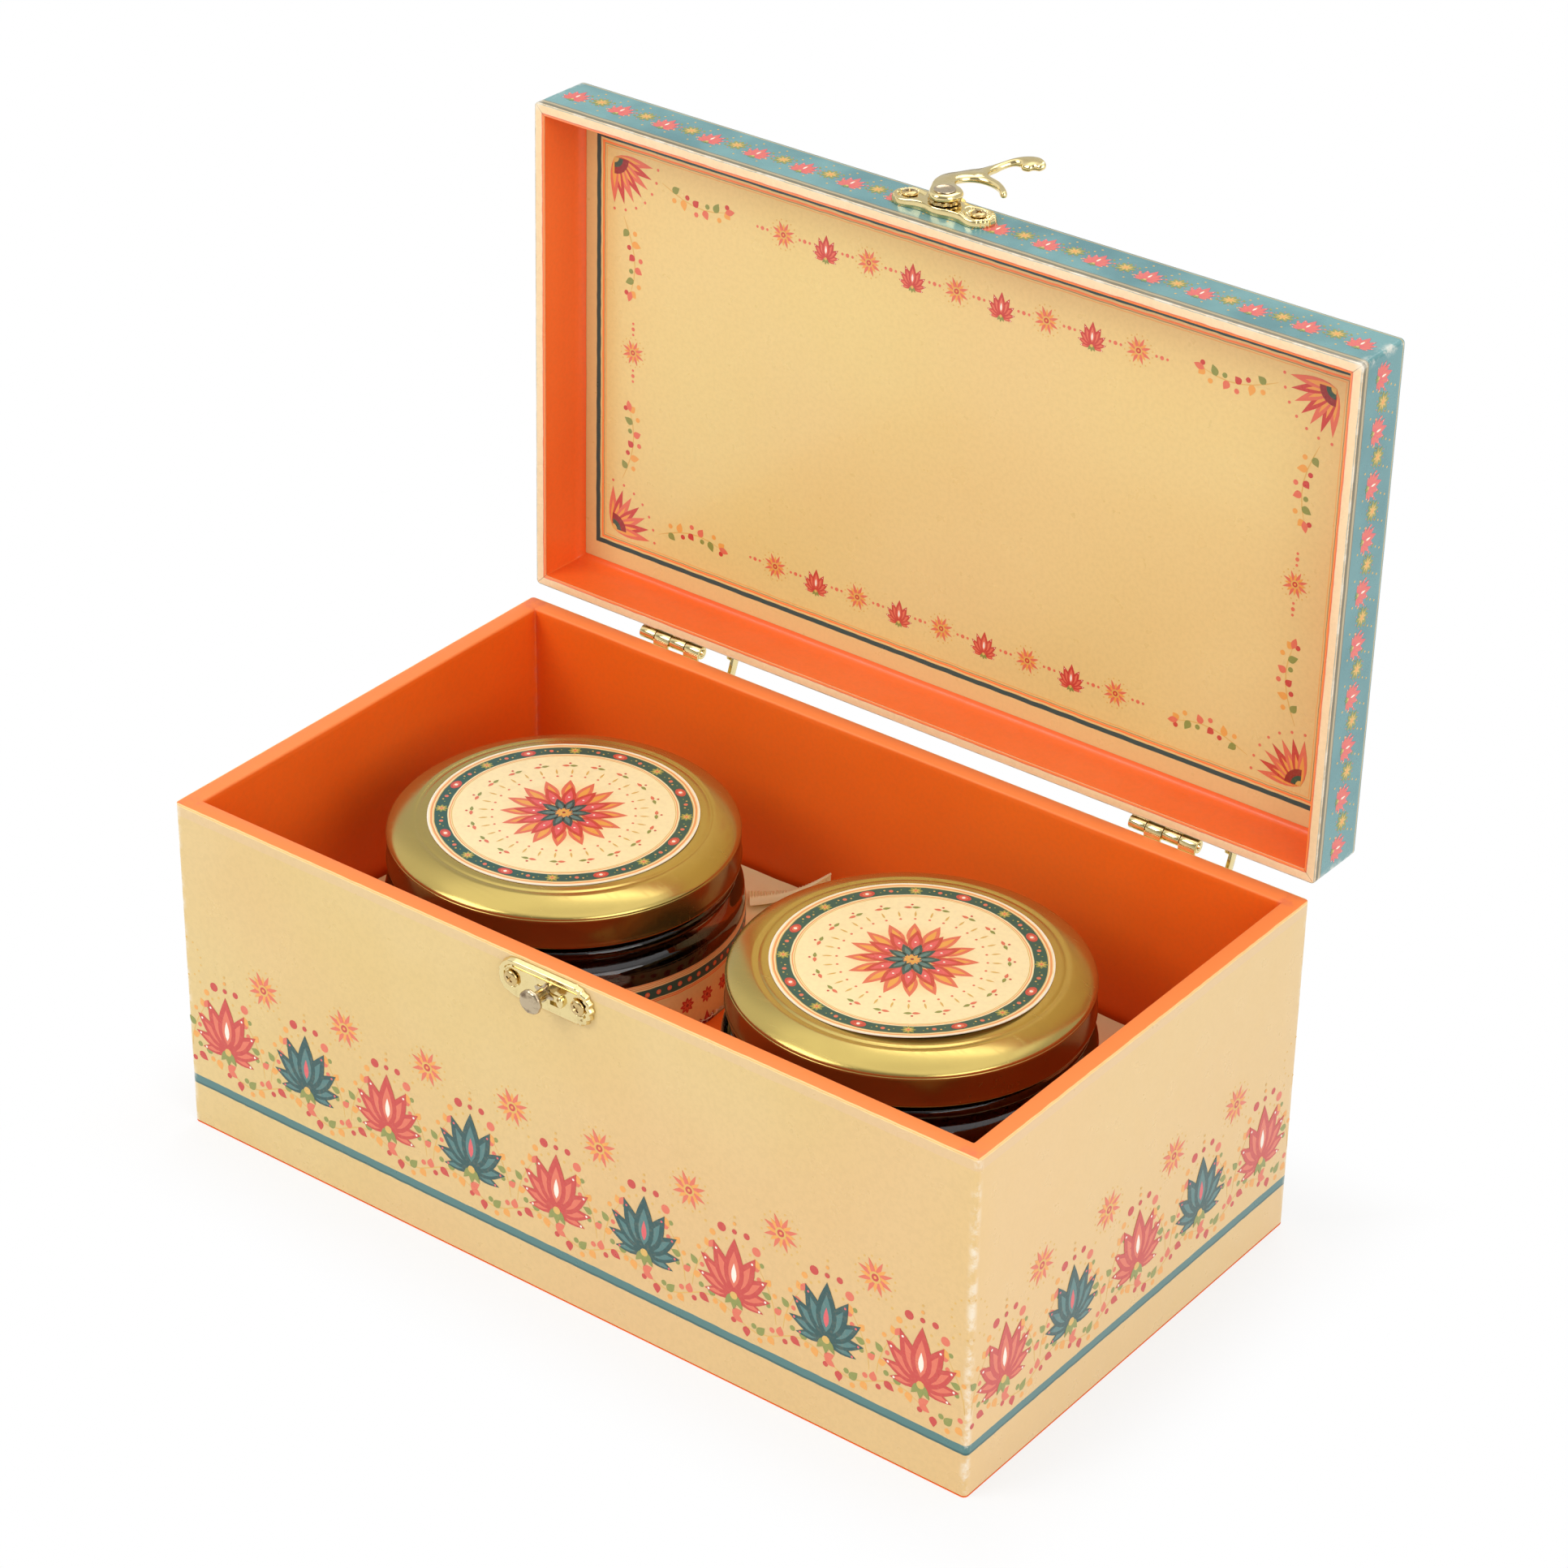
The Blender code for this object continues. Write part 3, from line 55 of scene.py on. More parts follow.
lidPlace = Matrix.Translation((0, hinges["axisY"] * mm, hinges["axisZ"] * mm)) @ Matrix.Rotation(
    math.radians(-hinges["open"]), 4, "X"
)
outward = Matrix.Rotation(math.radians(90), 4, "X")
latchAt = Vector((fittings["x"], fittings["latchY"], fittings["latchZ"]))
catchAt = Vector((fittings["x"], fittings["catchY"], fittings["catchZ"]))
latchPlace = lidPlace @ Matrix.Translation(latchAt * mm) @ outward
catchPlace = Matrix.Translation(catchAt * mm) @ outward


def jarPlace(number, height=0.0):
    side = -1 if number == 1 else 1
    return Matrix.Translation((side * jars["spacing"] / 2 * mm, 0, (jars["seatZ"] + height) * mm))


# Colours are written as seen, 0 to 255
def paint(red, green, blue):
    seen = [value / 255 for value in (red, green, blue)]
    return tuple(c / 12.92 if c <= 0.04045 else ((c + 0.055) / 1.055) ** 2.4 for c in seen) + (1.0,)


inks = {
    "cream": paint(224, 195, 131),
    "straw": paint(219, 187, 114),
    "blush": paint(227, 184, 130),
    "paleYellow": paint(250, 218, 150),
    "white": paint(246, 238, 222),
    "sideLightTint": paint(232, 194, 134),
    "topCream": paint(212, 184, 128),
    "rimReflectionPink": paint(226, 190, 160),
    "teal": paint(76, 122, 120),
    "deepTeal": paint(30, 78, 76),
    "lidTeal": paint(112, 164, 164),
    "duskTeal": paint(80, 134, 138),
    "labelGreen": paint(22, 80, 70),
    "labelOrange": paint(236, 158, 96),
    "leafGreen": paint(140, 146, 70),
    "darkGreen": paint(52, 84, 66),
    "orange": paint(246, 104, 22),
    "rimOrange": paint(253, 138, 72),
    "deepOrange": paint(226, 84, 12),
    "coral": paint(226, 112, 84),
    "red": paint(202, 64, 56),
    "deepRed": paint(150, 38, 40),
    "rose": paint(226, 92, 96),
    "amber": paint(236, 164, 76),
    "gold": paint(222, 178, 92),
    "brown": paint(122, 98, 58),
    "tan": paint(196, 168, 122),
}


# Node helpers
def wire(tree, made, values):
    for key, value in values.items():
        if isinstance(value, bpy.types.NodeSocket):
            tree.links.new(value, made.inputs[key])
        else:
            made.inputs[key].default_value = value
    return made


def put(tree, kind, values=None, **settings):
    made = tree.nodes.new(kind)
    for key, value in settings.items():
        setattr(made, key, value)
    return wire(tree, made, values or {})


def get(tree, kind, values=None, **settings):
    return put(tree, kind, values, **settings).outputs[0]


def calc(tree, operation, *values):
    return get(tree, "ShaderNodeMath", dict(enumerate(values)), operation=operation)


def times(tree, first, second):
    return calc(tree, "MULTIPLY", first, second)


def plus(tree, first, second):
    return calc(tree, "ADD", first, second)


def minus(tree, first, second):
    return calc(tree, "SUBTRACT", first, second)


def larger(tree, first, second):
    return calc(tree, "MAXIMUM", first, second)


def smaller(tree, first, second):
    return calc(tree, "MINIMUM", first, second)


def unsigned(tree, value):
    return calc(tree, "ABSOLUTE", value)


def lay(tree, under, mask, colour):
    made = put(tree, "ShaderNodeMix", {0: mask, 6: under, 7: colour}, data_type="RGBA")
    return made.outputs[2]


def cloudy(tree, vector, scale, detail=3.0, rough=0.55, distort=0.0):
    values = {"Vector": vector, "Scale": scale, "Detail": detail, "Roughness": rough, "Distortion": distort}
    return get(tree, "ShaderNodeTexNoise", values)


def remap(tree, value, low, high, toLow=0.0, toHigh=1.0, smooth=True):
    values = {0: value, 1: low, 2: high, 3: toLow, 4: toHigh}
    kind = "SMOOTHSTEP" if smooth else "LINEAR"
    return get(tree, "ShaderNodeMapRange", values, interpolation_type=kind)


def blotches(tree, vector, scale, low, high, detail=3.0, rough=0.55, distort=0.0):
    return remap(tree, cloudy(tree, vector, scale, detail, rough, distort), low, high)


def split(tree, vector):
    return put(tree, "ShaderNodeSeparateXYZ", {0: vector}).outputs


def makeGroup(name, takes, gives):
    tree = bpy.data.node_groups.new(name, "ShaderNodeTree")
    for label, value in takes.items():
        kind = "Vector" if value is None else "Color" if isinstance(value, tuple) else "Float"
        socket = tree.interface.new_socket(label, in_out="INPUT", socket_type=f"NodeSocket{kind}")
        if value is not None:
            socket.default_value = value
    for label in gives:
        kind = "Color" if label == "Colour" else "Float"
        tree.interface.new_socket(label, in_out="OUTPUT", socket_type=f"NodeSocket{kind}")
    start = tree.nodes.new("NodeGroupInput").outputs
    end = tree.nodes.new("NodeGroupOutput").inputs
    return tree, start, end


def giveOut(tree, end, **results):
    for label, socket in results.items():
        tree.links.new(socket, end[label])
    return tree


def use(tree, group, values):
    made = tree.nodes.new("ShaderNodeGroup")
    made.node_tree = group
    return wire(tree, made, values).outputs


def scaled(tree, start):
    values = {0: start["Vector"], 3: start["Scale"]}
    return get(tree, "ShaderNodeVectorMath", values, operation="SCALE")


finishSockets = ("Colour", "Roughness", "Height")


# Paper: blotches of a warm print, faint fibres, and the shallow waves of glued sheet
def paperGrainGroup():
    takes = {"Vector": None, "Base": inks["cream"], "Blotch": inks["straw"], "Warm": inks["blush"]}
    tree, start, end = makeGroup("paperGrain", takes | {"Scale": 1.0, "Gloss": 0.3}, finishSockets)
    vector = scaled(tree, start)
    broad = blotches(tree, vector, 22.0, 0.34, 0.7, 2.0, 0.5, 0.3)
    wash = blotches(tree, vector, 9.0, 0.36, 0.7, 1.0)
    speck = blotches(tree, vector, 900.0, 0.36, 0.7, 2.0)
    colour = lay(tree, start["Base"], times(tree, broad, 0.5), start["Blotch"])
    colour = lay(tree, colour, times(tree, wash, 0.6), start["Warm"])
    colour = lay(tree, colour, times(tree, speck, 0.06), inks["brown"])
    wave, fibre = cloudy(tree, vector, 55.0, 1.0), cloudy(tree, vector, 2600.0, 2.0)
    height = plus(tree, times(tree, wave, 0.9), times(tree, fibre, 0.035))
    rough = plus(tree, start["Gloss"], remap(tree, cloudy(tree, vector, 160.0), 0.3, 0.7, -0.03, 0.06))
    return giveOut(tree, end, Colour=colour, Roughness=rough, Height=height)


# A printed line: 1 between low and high, with a slightly unsteady edge
def printedLineGroup():
    takes = {"Vector": None, "Value": 0.0, "Low": 0.0, "High": 1.0, "Soft": 0.00008, "Wander": 0.0002}
    tree, start, end = makeGroup("printedLine", takes, ["Mask"])
    shake = remap(tree, cloudy(tree, start["Vector"], 240.0, 1.0), 0.2, 0.8, -0.5, 0.5, smooth=False)
    value = calc(tree, "MULTIPLY_ADD", shake, start["Wander"], start["Value"])

    def edge(label, before, after):
        below = minus(tree, start[label], start["Soft"])
        above = plus(tree, start[label], start["Soft"])
        return remap(tree, value, below, above, before, after)

    return giveOut(tree, end, Mask=times(tree, edge("Low", 0.0, 1.0), edge("High", 1.0, 0.0)))


# Wear where paper has been rubbed, by the distance from the rubbed edge
def rubbedEdgeGroup():
    takes = {"Vector": None, "Distance": 0.0, "Reach": 0.0016, "Amount": 1.0}
    tree, start, end = makeGroup("rubbedEdge", takes, ["Mask"])
    near = remap(tree, calc(tree, "DIVIDE", start["Distance"], start["Reach"]), 0.0, 1.0, 1.0, 0.0)
    patch = blotches(tree, start["Vector"], 210.0, 0.42, 0.62, 4.0, 0.7)
    return giveOut(tree, end, Mask=times(tree, times(tree, near, patch), start["Amount"]))


# Metal that hands have dulled: cloudy tarnish, fine scratches and a broken gloss
def handledMetalGroup():
    takes = {"Vector": None, "Metal": inks["gold"], "Tarnish": inks["brown"], "Amount": 0.5}
    tree, start, end = makeGroup("handledMetal", takes | {"Scale": 1.0, "Gloss": 0.2}, finishSockets)
    vector = scaled(tree, start)
    cloud = blotches(tree, vector, 420.0, 0.48, 0.72, 5.0, 0.65)
    colour = lay(tree, start["Metal"], times(tree, cloud, start["Amount"]), start["Tarnish"])
    drawnOut = get(tree, "ShaderNodeMapping", {"Vector": vector, "Scale": (180.0, 5200.0, 2400.0)})
    scratch = blotches(tree, drawnOut, 1.0, 0.52, 0.7, 2.0)
    grain = cloudy(tree, vector, 700.0, 1.0)
    rough = plus(tree, start["Gloss"], times(tree, cloud, times(tree, start["Amount"], 0.3)))
    rough = plus(tree, rough, times(tree, scratch, 0.06))
    height = plus(tree, times(tree, scratch, -0.1), times(tree, grain, 0.9))
    return giveOut(tree, end, Colour=colour, Roughness=rough, Height=height)


# Satin: floats of silky warp over a fine weft, softly mottled
def satinWeaveGroup():
    takes = {"Vector": None, "Thread": paint(236, 190, 142), "Shade": paint(205, 140, 88), "Pitch": 3400.0}
    tree, start, end = makeGroup("satinWeave", takes, finishSockets)
    x, y, z = split(tree, start["Vector"])
    warp = calc(tree, "SINE", times(tree, x, times(tree, start["Pitch"], 6.283)))
    weft = calc(tree, "SINE", times(tree, y, times(tree, start["Pitch"], 1.57)))
    thread = remap(tree, calc(tree, "MULTIPLY_ADD", weft, 0.35, warp), -1.3, 1.3)
    slub = blotches(tree, start["Vector"], 130.0, 0.35, 0.7, 4.0)
    colour = lay(tree, start["Thread"], times(tree, slub, 0.35), start["Shade"])
    colour = lay(tree, colour, times(tree, thread, 0.12), start["Shade"])
    rough = remap(tree, slub, 0.0, 1.0, 0.3, 0.45)
    return giveOut(tree, end, Colour=colour, Roughness=rough, Height=thread)


paperGrain = paperGrainGroup()
printedLine = printedLineGroup()
rubbedEdge = rubbedEdgeGroup()
handledMetal = handledMetalGroup()
satinWeave = satinWeaveGroup()
print("shader groups made")


def newMaterial(name, values):
    material = bpy.data.materials.new(name)
    material.use_nodes = True
    tree = material.node_tree
    shader = tree.nodes["Principled BSDF"]
    wire(tree, shader, values)
    return material, tree, shader.inputs


def coordinates(tree, centre=None, turn=(0, 0, 0)):
    spot = put(tree, "ShaderNodeTexCoord").outputs["Object"]
    if centre is None:
        return spot
    values = {"Vector": spot, "Location": centre, "Rotation": turn}
    return get(tree, "ShaderNodeMapping", values, vector_type="TEXTURE")


def lidCoordinates(tree):
    turn = (math.radians(-hinges["open"]), 0, 0)
    return coordinates(tree, (0, hinges["axisY"] * mm, hinges["axisZ"] * mm), turn)


def emboss(tree, shader, height, depth, strength=1.0):
    bump = put(tree, "ShaderNodeBump", {"Strength": strength, "Distance": depth * mm, "Height": height})
    tree.links.new(bump.outputs[0], shader["Normal"])


def finish(tree, shader, colour, rough, height=None, depth=0.0, strength=1.0):
    tree.links.new(colour, shader["Base Color"])
    tree.links.new(rough, shader["Roughness"])
    if height is not None:
        emboss(tree, shader, height, depth, strength)


def line(tree, spot, value, low, high, strength=1.0):
    mask = use(tree, printedLine, {"Vector": spot, "Value": value, "Low": low * mm, "High": high * mm})[0]
    return times(tree, mask, strength) if strength != 1.0 else mask


def banded(tree, spot, colour, value, bands, where=None):
    # Lines of (low, high, ink, strength) in millimetres along a value
    for low, high, ink, *strength in bands:
        mask = line(tree, spot, value, low, high, *strength)
        if where is not None:
            mask = times(tree, mask, where)
        colour = lay(tree, colour, mask, inks[ink])
    return colour


def rubbed(tree, spot, distance, reach, amount):
    values = {"Vector": spot, "Distance": distance, "Reach": reach * mm, "Amount": amount}
    return use(tree, rubbedEdge, values)[0]


def fromEdge(tree, value, middle, half):
    # How far a coordinate lies inside the edge at half from the middle
    return minus(tree, half * mm, unsigned(tree, minus(tree, value, middle * mm)))


def paperMaterial(
    name, tones, spotOf=coordinates, printed=None, gloss=0.3, coat=0.25, wave=0.12, shine=0.5
):
    values = {"Coat Weight": coat, "Coat Roughness": 0.12, "Specular IOR Level": shine}
    material, tree, shader = newMaterial(name, values)
    spot = spotOf(tree)
    values = dict(zip(("Base", "Blotch", "Warm"), tones)) | {"Vector": spot, "Gloss": gloss}
    grain = use(tree, paperGrain, values)
    colour = printed(tree, spot, grain["Colour"]) if printed else grain["Colour"]
    finish(tree, shader, colour, grain["Roughness"], grain["Height"], wave)
    return material


# Where a side face begins, just inside half the box's length, in metres
sideFrom = (0.1172, 0.1174)


def wallPrint(tree, spot, colour):
    x, y, z = split(tree, spot)
    # The end faces are tinted a pinker cream: painted light, for how the light falls on the ends
    side = remap(tree, unsigned(tree, x), *sideFrom)
    colour = lay(tree, colour, times(tree, side, 0.6), inks["sideLightTint"])
    # A faint greyish-pink band just below the rim is a painted reflection
    bands = [(88.8, 91.5, "rimReflectionPink", 0.3), (11.9, 14.5, "teal"), (11.9, 12.5, "deepTeal", 0.7)]
    bands += [(91.35, 92.2, "paleYellow"), (-1.0, 0.35, "rimOrange", 0.8)]
    colour = banded(tree, spot, colour, z, bands)
    corner = larger(tree, fromEdge(tree, x, 0, box["halfX"]), fromEdge(tree, y, 0, box["halfY"]))
    colour = lay(tree, colour, rubbed(tree, spot, corner, 2.2, 0.75), inks["white"])
    under = minus(tree, box["height"] * mm, z)
    return lay(tree, colour, rubbed(tree, spot, under, 1.0, 0.55), inks["blush"])


def linedPrint(tree, spot, colour):
    # Orange paper: paler where it turns over the rim, a painted highlight for the light on its top; deeper
    # towards the floor, painted shade inside the box; rubbed in the corners
    x, y, z = split(tree, spot)
    rim = remap(tree, z, 0.0912, 0.0918)
    colour = lay(tree, colour, rim, inks["rimOrange"])
    colour = lay(tree, colour, remap(tree, z, 0.035, 0.09, 0.4, 0.0), inks["deepOrange"])
    acrossX = fromEdge(tree, x, 0, box["halfX"] - box["wall"])
    acrossY = fromEdge(tree, y, 0, box["halfY"] - box["wall"])
    crease = rubbed(tree, spot, larger(tree, acrossX, acrossY), 1.6, 0.5)
    colour = lay(tree, colour, crease, inks["coral"])
    outer = smaller(tree, fromEdge(tree, x, 0, box["halfX"]), fromEdge(tree, y, 0, box["halfY"]))
    return banded(tree, spot, colour, outer, [(-1.0, 0.3, "paleYellow", 0.8)], rim)


def lidPrint(tree, spot, colour):
    x, y, z = split(tree, spot)
    outX = fromEdge(tree, x, 0, lid["halfX"])
    outY = fromEdge(tree, y, lid["middleY"], lid["halfY"])
    inset = smaller(tree, outX, outY)
    haze = blotches(tree, spot, 42.0, 0.35, 0.7)
    sideColour = lay(tree, inks["lidTeal"], haze, inks["duskTeal"])
    # Painted shade: the lid's right end is darker teal for how the light falls on it
    sideColour = lay(tree, sideColour, remap(tree, x, *sideFrom, 0.0, 0.55), inks["duskTeal"])
    bands = [(-0.8, 0.7, "brown", 0.8), (0.7, 0.85, "gold", 0.8), (0.85, 1.5, "tan", 0.8)]
    bands += [(1.5, 1.8, "brown", 0.8), (16.2, 16.5, "gold", 0.8)]
    sideColour = banded(tree, spot, sideColour, z, bands)
    topColour = lay(tree, colour, 0.8, inks["topCream"])
    topColour = lay(tree, topColour, line(tree, spot, inset, -1.0, 9.0), sideColour)
    bands = [(9.0, 9.6, "gold"), (10.6, 11.2, "orange"), (12.2, 12.6, "orange")]
    topColour = banded(tree, spot, topColour, inset, bands)
    made = lay(tree, colour, remap(tree, z, -0.00048, -0.0004), sideColour)
    made = lay(tree, made, remap(tree, z, 0.01705, 0.01715), topColour)
    # The rim is cream with a fine line near its outer edge, the lining's turned edge, and mitred folds
    onRim = remap(tree, z, -0.0006, -0.0005, 1.0, 0.0)
    bands = [(0.1, 0.35, "duskTeal", 0.6), (2.4, 4.0, "rimOrange"), (2.35, 2.6, "coral")]
    made = banded(tree, spot, made, inset, bands, onRim)
    mitre = unsigned(tree, minus(tree, outX, outY))
    nearRim = remap(tree, inset, 0.004, 0.005, 1.0, 0.0)
    fold = times(tree, remap(tree, mitre, 0.0, 0.00022, 0.7, 0.0), nearRim)
    made = lay(tree, made, times(tree, fold, remap(tree, z, -0.0004, 0.0, 1.0, 0.0)), inks["brown"])
    made = lay(tree, made, rubbed(tree, spot, larger(tree, outX, outY), 2.6, 0.8), inks["white"])
    edge = plus(tree, inset, unsigned(tree, minus(tree, z, lid["rimZ"] * mm)))
    return lay(tree, made, rubbed(tree, spot, edge, 0.7, 0.6), inks["white"])


card = {"frameX": 108.5, "frameY": 55.8, "middleY": -68.2}


def cardPrint(tree, spot, colour):
    # A teal line with fine orange, brown and amber lines inside it, all round the card
    x, y, z = split(tree, spot)
    pastX = times(tree, fromEdge(tree, x, 0, card["frameX"]), -1.0)
    pastY = times(tree, fromEdge(tree, y, card["middleY"], card["frameY"]), -1.0)
    bands = [(0.5, 12.0, "blush", 0.35), (-0.65, 0.65, "deepTeal"), (-1.75, -1.2, "rimOrange")]
    bands += [(-2.05, -1.85, "brown", 0.8), (-2.6, -2.4, "amber", 0.9)]
    return banded(tree, spot, colour, larger(tree, pastX, pastY), bands)


creams = (inks["cream"], inks["straw"], inks["blush"])
oranges = (inks["orange"], paint(238, 94, 16), paint(250, 116, 34))
lidOranges = (paint(246, 108, 40), paint(238, 98, 32), paint(251, 126, 62))
lidCreams = (paint(246, 216, 172), paint(240, 205, 150), paint(246, 210, 170))
cardCreams = (paint(232, 206, 134), paint(230, 203, 127), paint(234, 200, 140))
materials = {
    "wall": paperMaterial("wallPaper", creams, printed=wallPrint),
    "lining": paperMaterial(
        "liningPaper", oranges, printed=linedPrint, gloss=0.5, coat=0.04, wave=0.2, shine=0.25
    ),
    "orange": paperMaterial("orangePaper", oranges, gloss=0.55, coat=0.0, shine=0.25),
    "lidLining": paperMaterial("lidLiningPaper", lidOranges, gloss=0.36, coat=0.12, wave=0.3, shine=0.35),
    "lid": paperMaterial("lidPaper", lidCreams, lidCoordinates, lidPrint, gloss=0.24),
    "card": paperMaterial("lidCard", cardCreams, lidCoordinates, cardPrint),
}


def inkMaterial():
    # Printing ink: colour comes from each mark's own attribute, broken a little by the press
    material, tree, shader = newMaterial("printingInk", {"Coat Weight": 0.25, "Coat Roughness": 0.12})
    colour = put(tree, "ShaderNodeAttribute", attribute_name="ink").outputs["Color"]
    spot = coordinates(tree)
    broken = blotches(tree, spot, 1400.0, 0.45, 0.75)
    colour = lay(tree, colour, times(tree, broken, 0.08), inks["blush"])
    finish(tree, shader, colour, remap(tree, cloudy(tree, spot, 160.0), 0.3, 0.7, 0.27, 0.36))
    return material


def metalMaterial(name, metal, tarnish, amount, gloss, relief, scale=1.0, metallic=1.0, skirt=None):
    material, tree, shader = newMaterial(name, {"Metallic": metallic})
    values = {"Vector": coordinates(tree), "Metal": metal, "Tarnish": tarnish}
    worn = use(tree, handledMetal, values | {"Amount": amount, "Gloss": gloss, "Scale": scale})
    colour = worn["Colour"]
    if skirt:
        # Painted reflection: a darker, browner tone down the skirt, for the box's orange inside that it
        # mirrors
        low = remap(tree, split(tree, coordinates(tree))[2], skirt - 0.0012, skirt, 1.0, 0.0)
        colour = lay(tree, colour, low, paint(136, 102, 48))
    finish(tree, shader, colour, worn["Roughness"], worn["Height"], relief)
    return material


def glassMaterial():
    values = {"Base Color": paint(140, 116, 100), "Transmission Weight": 1.0, "IOR": 1.5}
    material, tree, shader = newMaterial("jarGlass", values)
    spot = coordinates(tree)
    smear = remap(tree, cloudy(tree, spot, 300.0, 4.0), 0.4, 0.8, 0.015, 0.07)
    tree.links.new(smear, shader["Roughness"])
    emboss(tree, shader, cloudy(tree, spot, 120.0, 2.0), 0.08)
    return material


def mottledMaterial(name, values, cloud, tints, gloss, depth=0.0, strength=1.0):
    # Two tints in a cloud of (scale, low, high, detail, roughness), with a gloss that goes with them
    material, tree, shader = newMaterial(name, values)
    mask = blotches(tree, coordinates(tree), *cloud)
    colour = lay(tree, tints[0], mask, tints[1])
    rough = remap(tree, mask, 0.0, 1.0, *gloss)
    finish(tree, shader, colour, rough, mask if depth else None, depth, strength)
    return material


def satinMaterial(name, thread, shade, pitch):
    values = {"Sheen Weight": 0.6, "Sheen Roughness": 0.4, "Sheen Tint": paint(255, 226, 190)}
    material, tree, shader = newMaterial(name, values | {"Specular IOR Level": 0.6})
    values = {"Vector": coordinates(tree), "Thread": thread, "Shade": shade, "Pitch": pitch}
    weave = use(tree, satinWeave, values)
    finish(tree, shader, weave["Colour"], weave["Roughness"], weave["Height"], 0.03, 0.6)
    return material


preserveGloss = {"Specular IOR Level": 0.6, "Coat Weight": 0.4, "Coat Roughness": 0.08}
boardGloss, sealGloss = {"Specular IOR Level": 0.3}, {"Specular IOR Level": 0.4}
preserveCloud, boardCloud = (190.0, 0.35, 0.7, 5.0, 0.6), (700.0, 0.35, 0.7, 5.0, 0.7)
preserveTints = (paint(26, 17, 13), paint(50, 32, 24))
boardTints = (paint(176, 138, 96), paint(140, 102, 66))
sealTints = (paint(236, 232, 220), paint(214, 206, 188))
materials |= {
    "ink": inkMaterial(),
    "brass": metalMaterial("polishedBrass", paint(234, 214, 156), paint(168, 132, 72), 0.2, 0.1, 0.002),
    "wornBrass": metalMaterial("wornBrass", paint(196, 170, 118), paint(112, 84, 48), 0.7, 0.2, 0.012),
    "rivet": metalMaterial("rivetSteel", paint(196, 178, 148), paint(104, 82, 62), 0.8, 0.18, 0.02),
    "screwBrass": metalMaterial("screwBrass", paint(212, 184, 128), paint(110, 78, 44), 0.55, 0.16, 0.008),
    "tin": metalMaterial(
        "goldLacquer", paint(186, 164, 92), paint(160, 138, 74), 0.12, 0.2, 0.002, 0.2, 0.85, skirt=0.0792
    ),
    "glass": glassMaterial(),
    "preserve": mottledMaterial(
        "darkPreserve", preserveGloss, preserveCloud, preserveTints, (0.25, 0.5), depth=0.4
    ),
    "satin": satinMaterial("creamSatin", paint(255, 242, 186), paint(255, 226, 156), 2400.0),
    "thread": satinMaterial("frayedThread", paint(246, 232, 208), paint(220, 190, 150), 5200.0),
    "board": mottledMaterial("rawBoard", boardGloss, boardCloud, boardTints, (0.7, 0.9), 0.05, 0.5),
    "seal": mottledMaterial("capSeal", sealGloss, (260.0, 0.4, 0.75, 4.0), sealTints, (0.45, 0.6)),
}


labels = {"reach": 44.25, "green": (28.1, 31.3), "low": 9.0, "high": 55.0}


def capLabelPrint(tree, spot, colour):
    x, y, z = split(tree, spot)
    radius = calc(tree, "SQRT", plus(tree, times(tree, x, x), times(tree, y, y)))
    bands = [(27.0, 27.2, "gold"), (27.4, 27.7, "labelOrange"), (*labels["green"], "labelGreen")]
    bands += [(31.3, 31.5, "gold"), (31.75, 32.3, "labelOrange"), (32.65, 34.0, "white")]
    colour = banded(tree, spot, colour, radius, bands)
    return lay(tree, colour, remap(tree, radius, 0.003, 0.0165, 0.75, 0.0), inks["amber"])


def capLabelMaterial(number):
    centre = (jarPlace(number).translation.x, 0, 0)
    tones = (paint(251, 234, 184), paint(248, 226, 166), paint(250, 230, 184))

    def spotOf(tree):
        return coordinates(tree, centre)

    return paperMaterial(f"capLabel{number}", tones, spotOf, capLabelPrint, 0.36)


def bodyLabelPrint(tree, spot, colour):
    x, y, z = split(tree, spot)
    height = minus(tree, z, (jars["seatZ"] + labels["high"]) * mm)
    bands = [(-0.35, 0.5, "labelOrange"), (-0.75, -0.6, "deepOrange"), (-1.25, -1.1, "deepOrange")]
    bands += [(-4.7, -1.7, "labelGreen"), (-5.3, -5.05, "orange"), (-5.8, -5.55, "orange")]
    bands += [(-39.0, -38.7, "orange"), (-44.2, -39.6, "darkGreen")]
    return banded(tree, spot, colour, height, bands)


bodyCreams = (paint(244, 214, 146), paint(238, 200, 124), paint(242, 206, 138))
materials |= {
    "capLabel1": capLabelMaterial(1),
    "capLabel2": capLabelMaterial(2),
    "bodyLabel": paperMaterial("bodyLabel", bodyCreams, printed=bodyLabelPrint, gloss=0.34),
}
print("materials made:", len(materials))


# Mesh helpers; every form is made in millimetres and scaled as it becomes a piece
def circle(radius, sides):
    turns = [2 * math.pi * i / sides for i in range(sides)]
    return [(radius * math.cos(a), radius * math.sin(a)) for a in turns]


def bridge(form, low, high):
    # Quads between two rings of points
    following = [(i, (i + 1) % len(low)) for i in range(len(low))]
    return [form.faces.new((low[i], low[j], high[j], high[i])) for i, j in following]


def loft(rings, closed=False):
    form = bmesh.new()
    rows = [[form.verts.new(point) for point in ring] for ring in rings]
    for low, high in zip(rows, rows[1:] + rows[:1] if closed else rows[1:]):
        bridge(form, low, high)
    if not closed:
        form.faces.new(list(reversed(rows[0])))
        form.faces.new(rows[-1])
    return outwards(form)


def outwards(form):
    bmesh.ops.recalc_face_normals(form, faces=form.faces)
    if form.calc_volume(signed=True) < 0:
        bmesh.ops.reverse_faces(form, faces=form.faces)
    return form


def newObject(name, data):
    made = bpy.data.objects.new(name, data)
    bpy.context.scene.collection.objects.link(made)
    return made


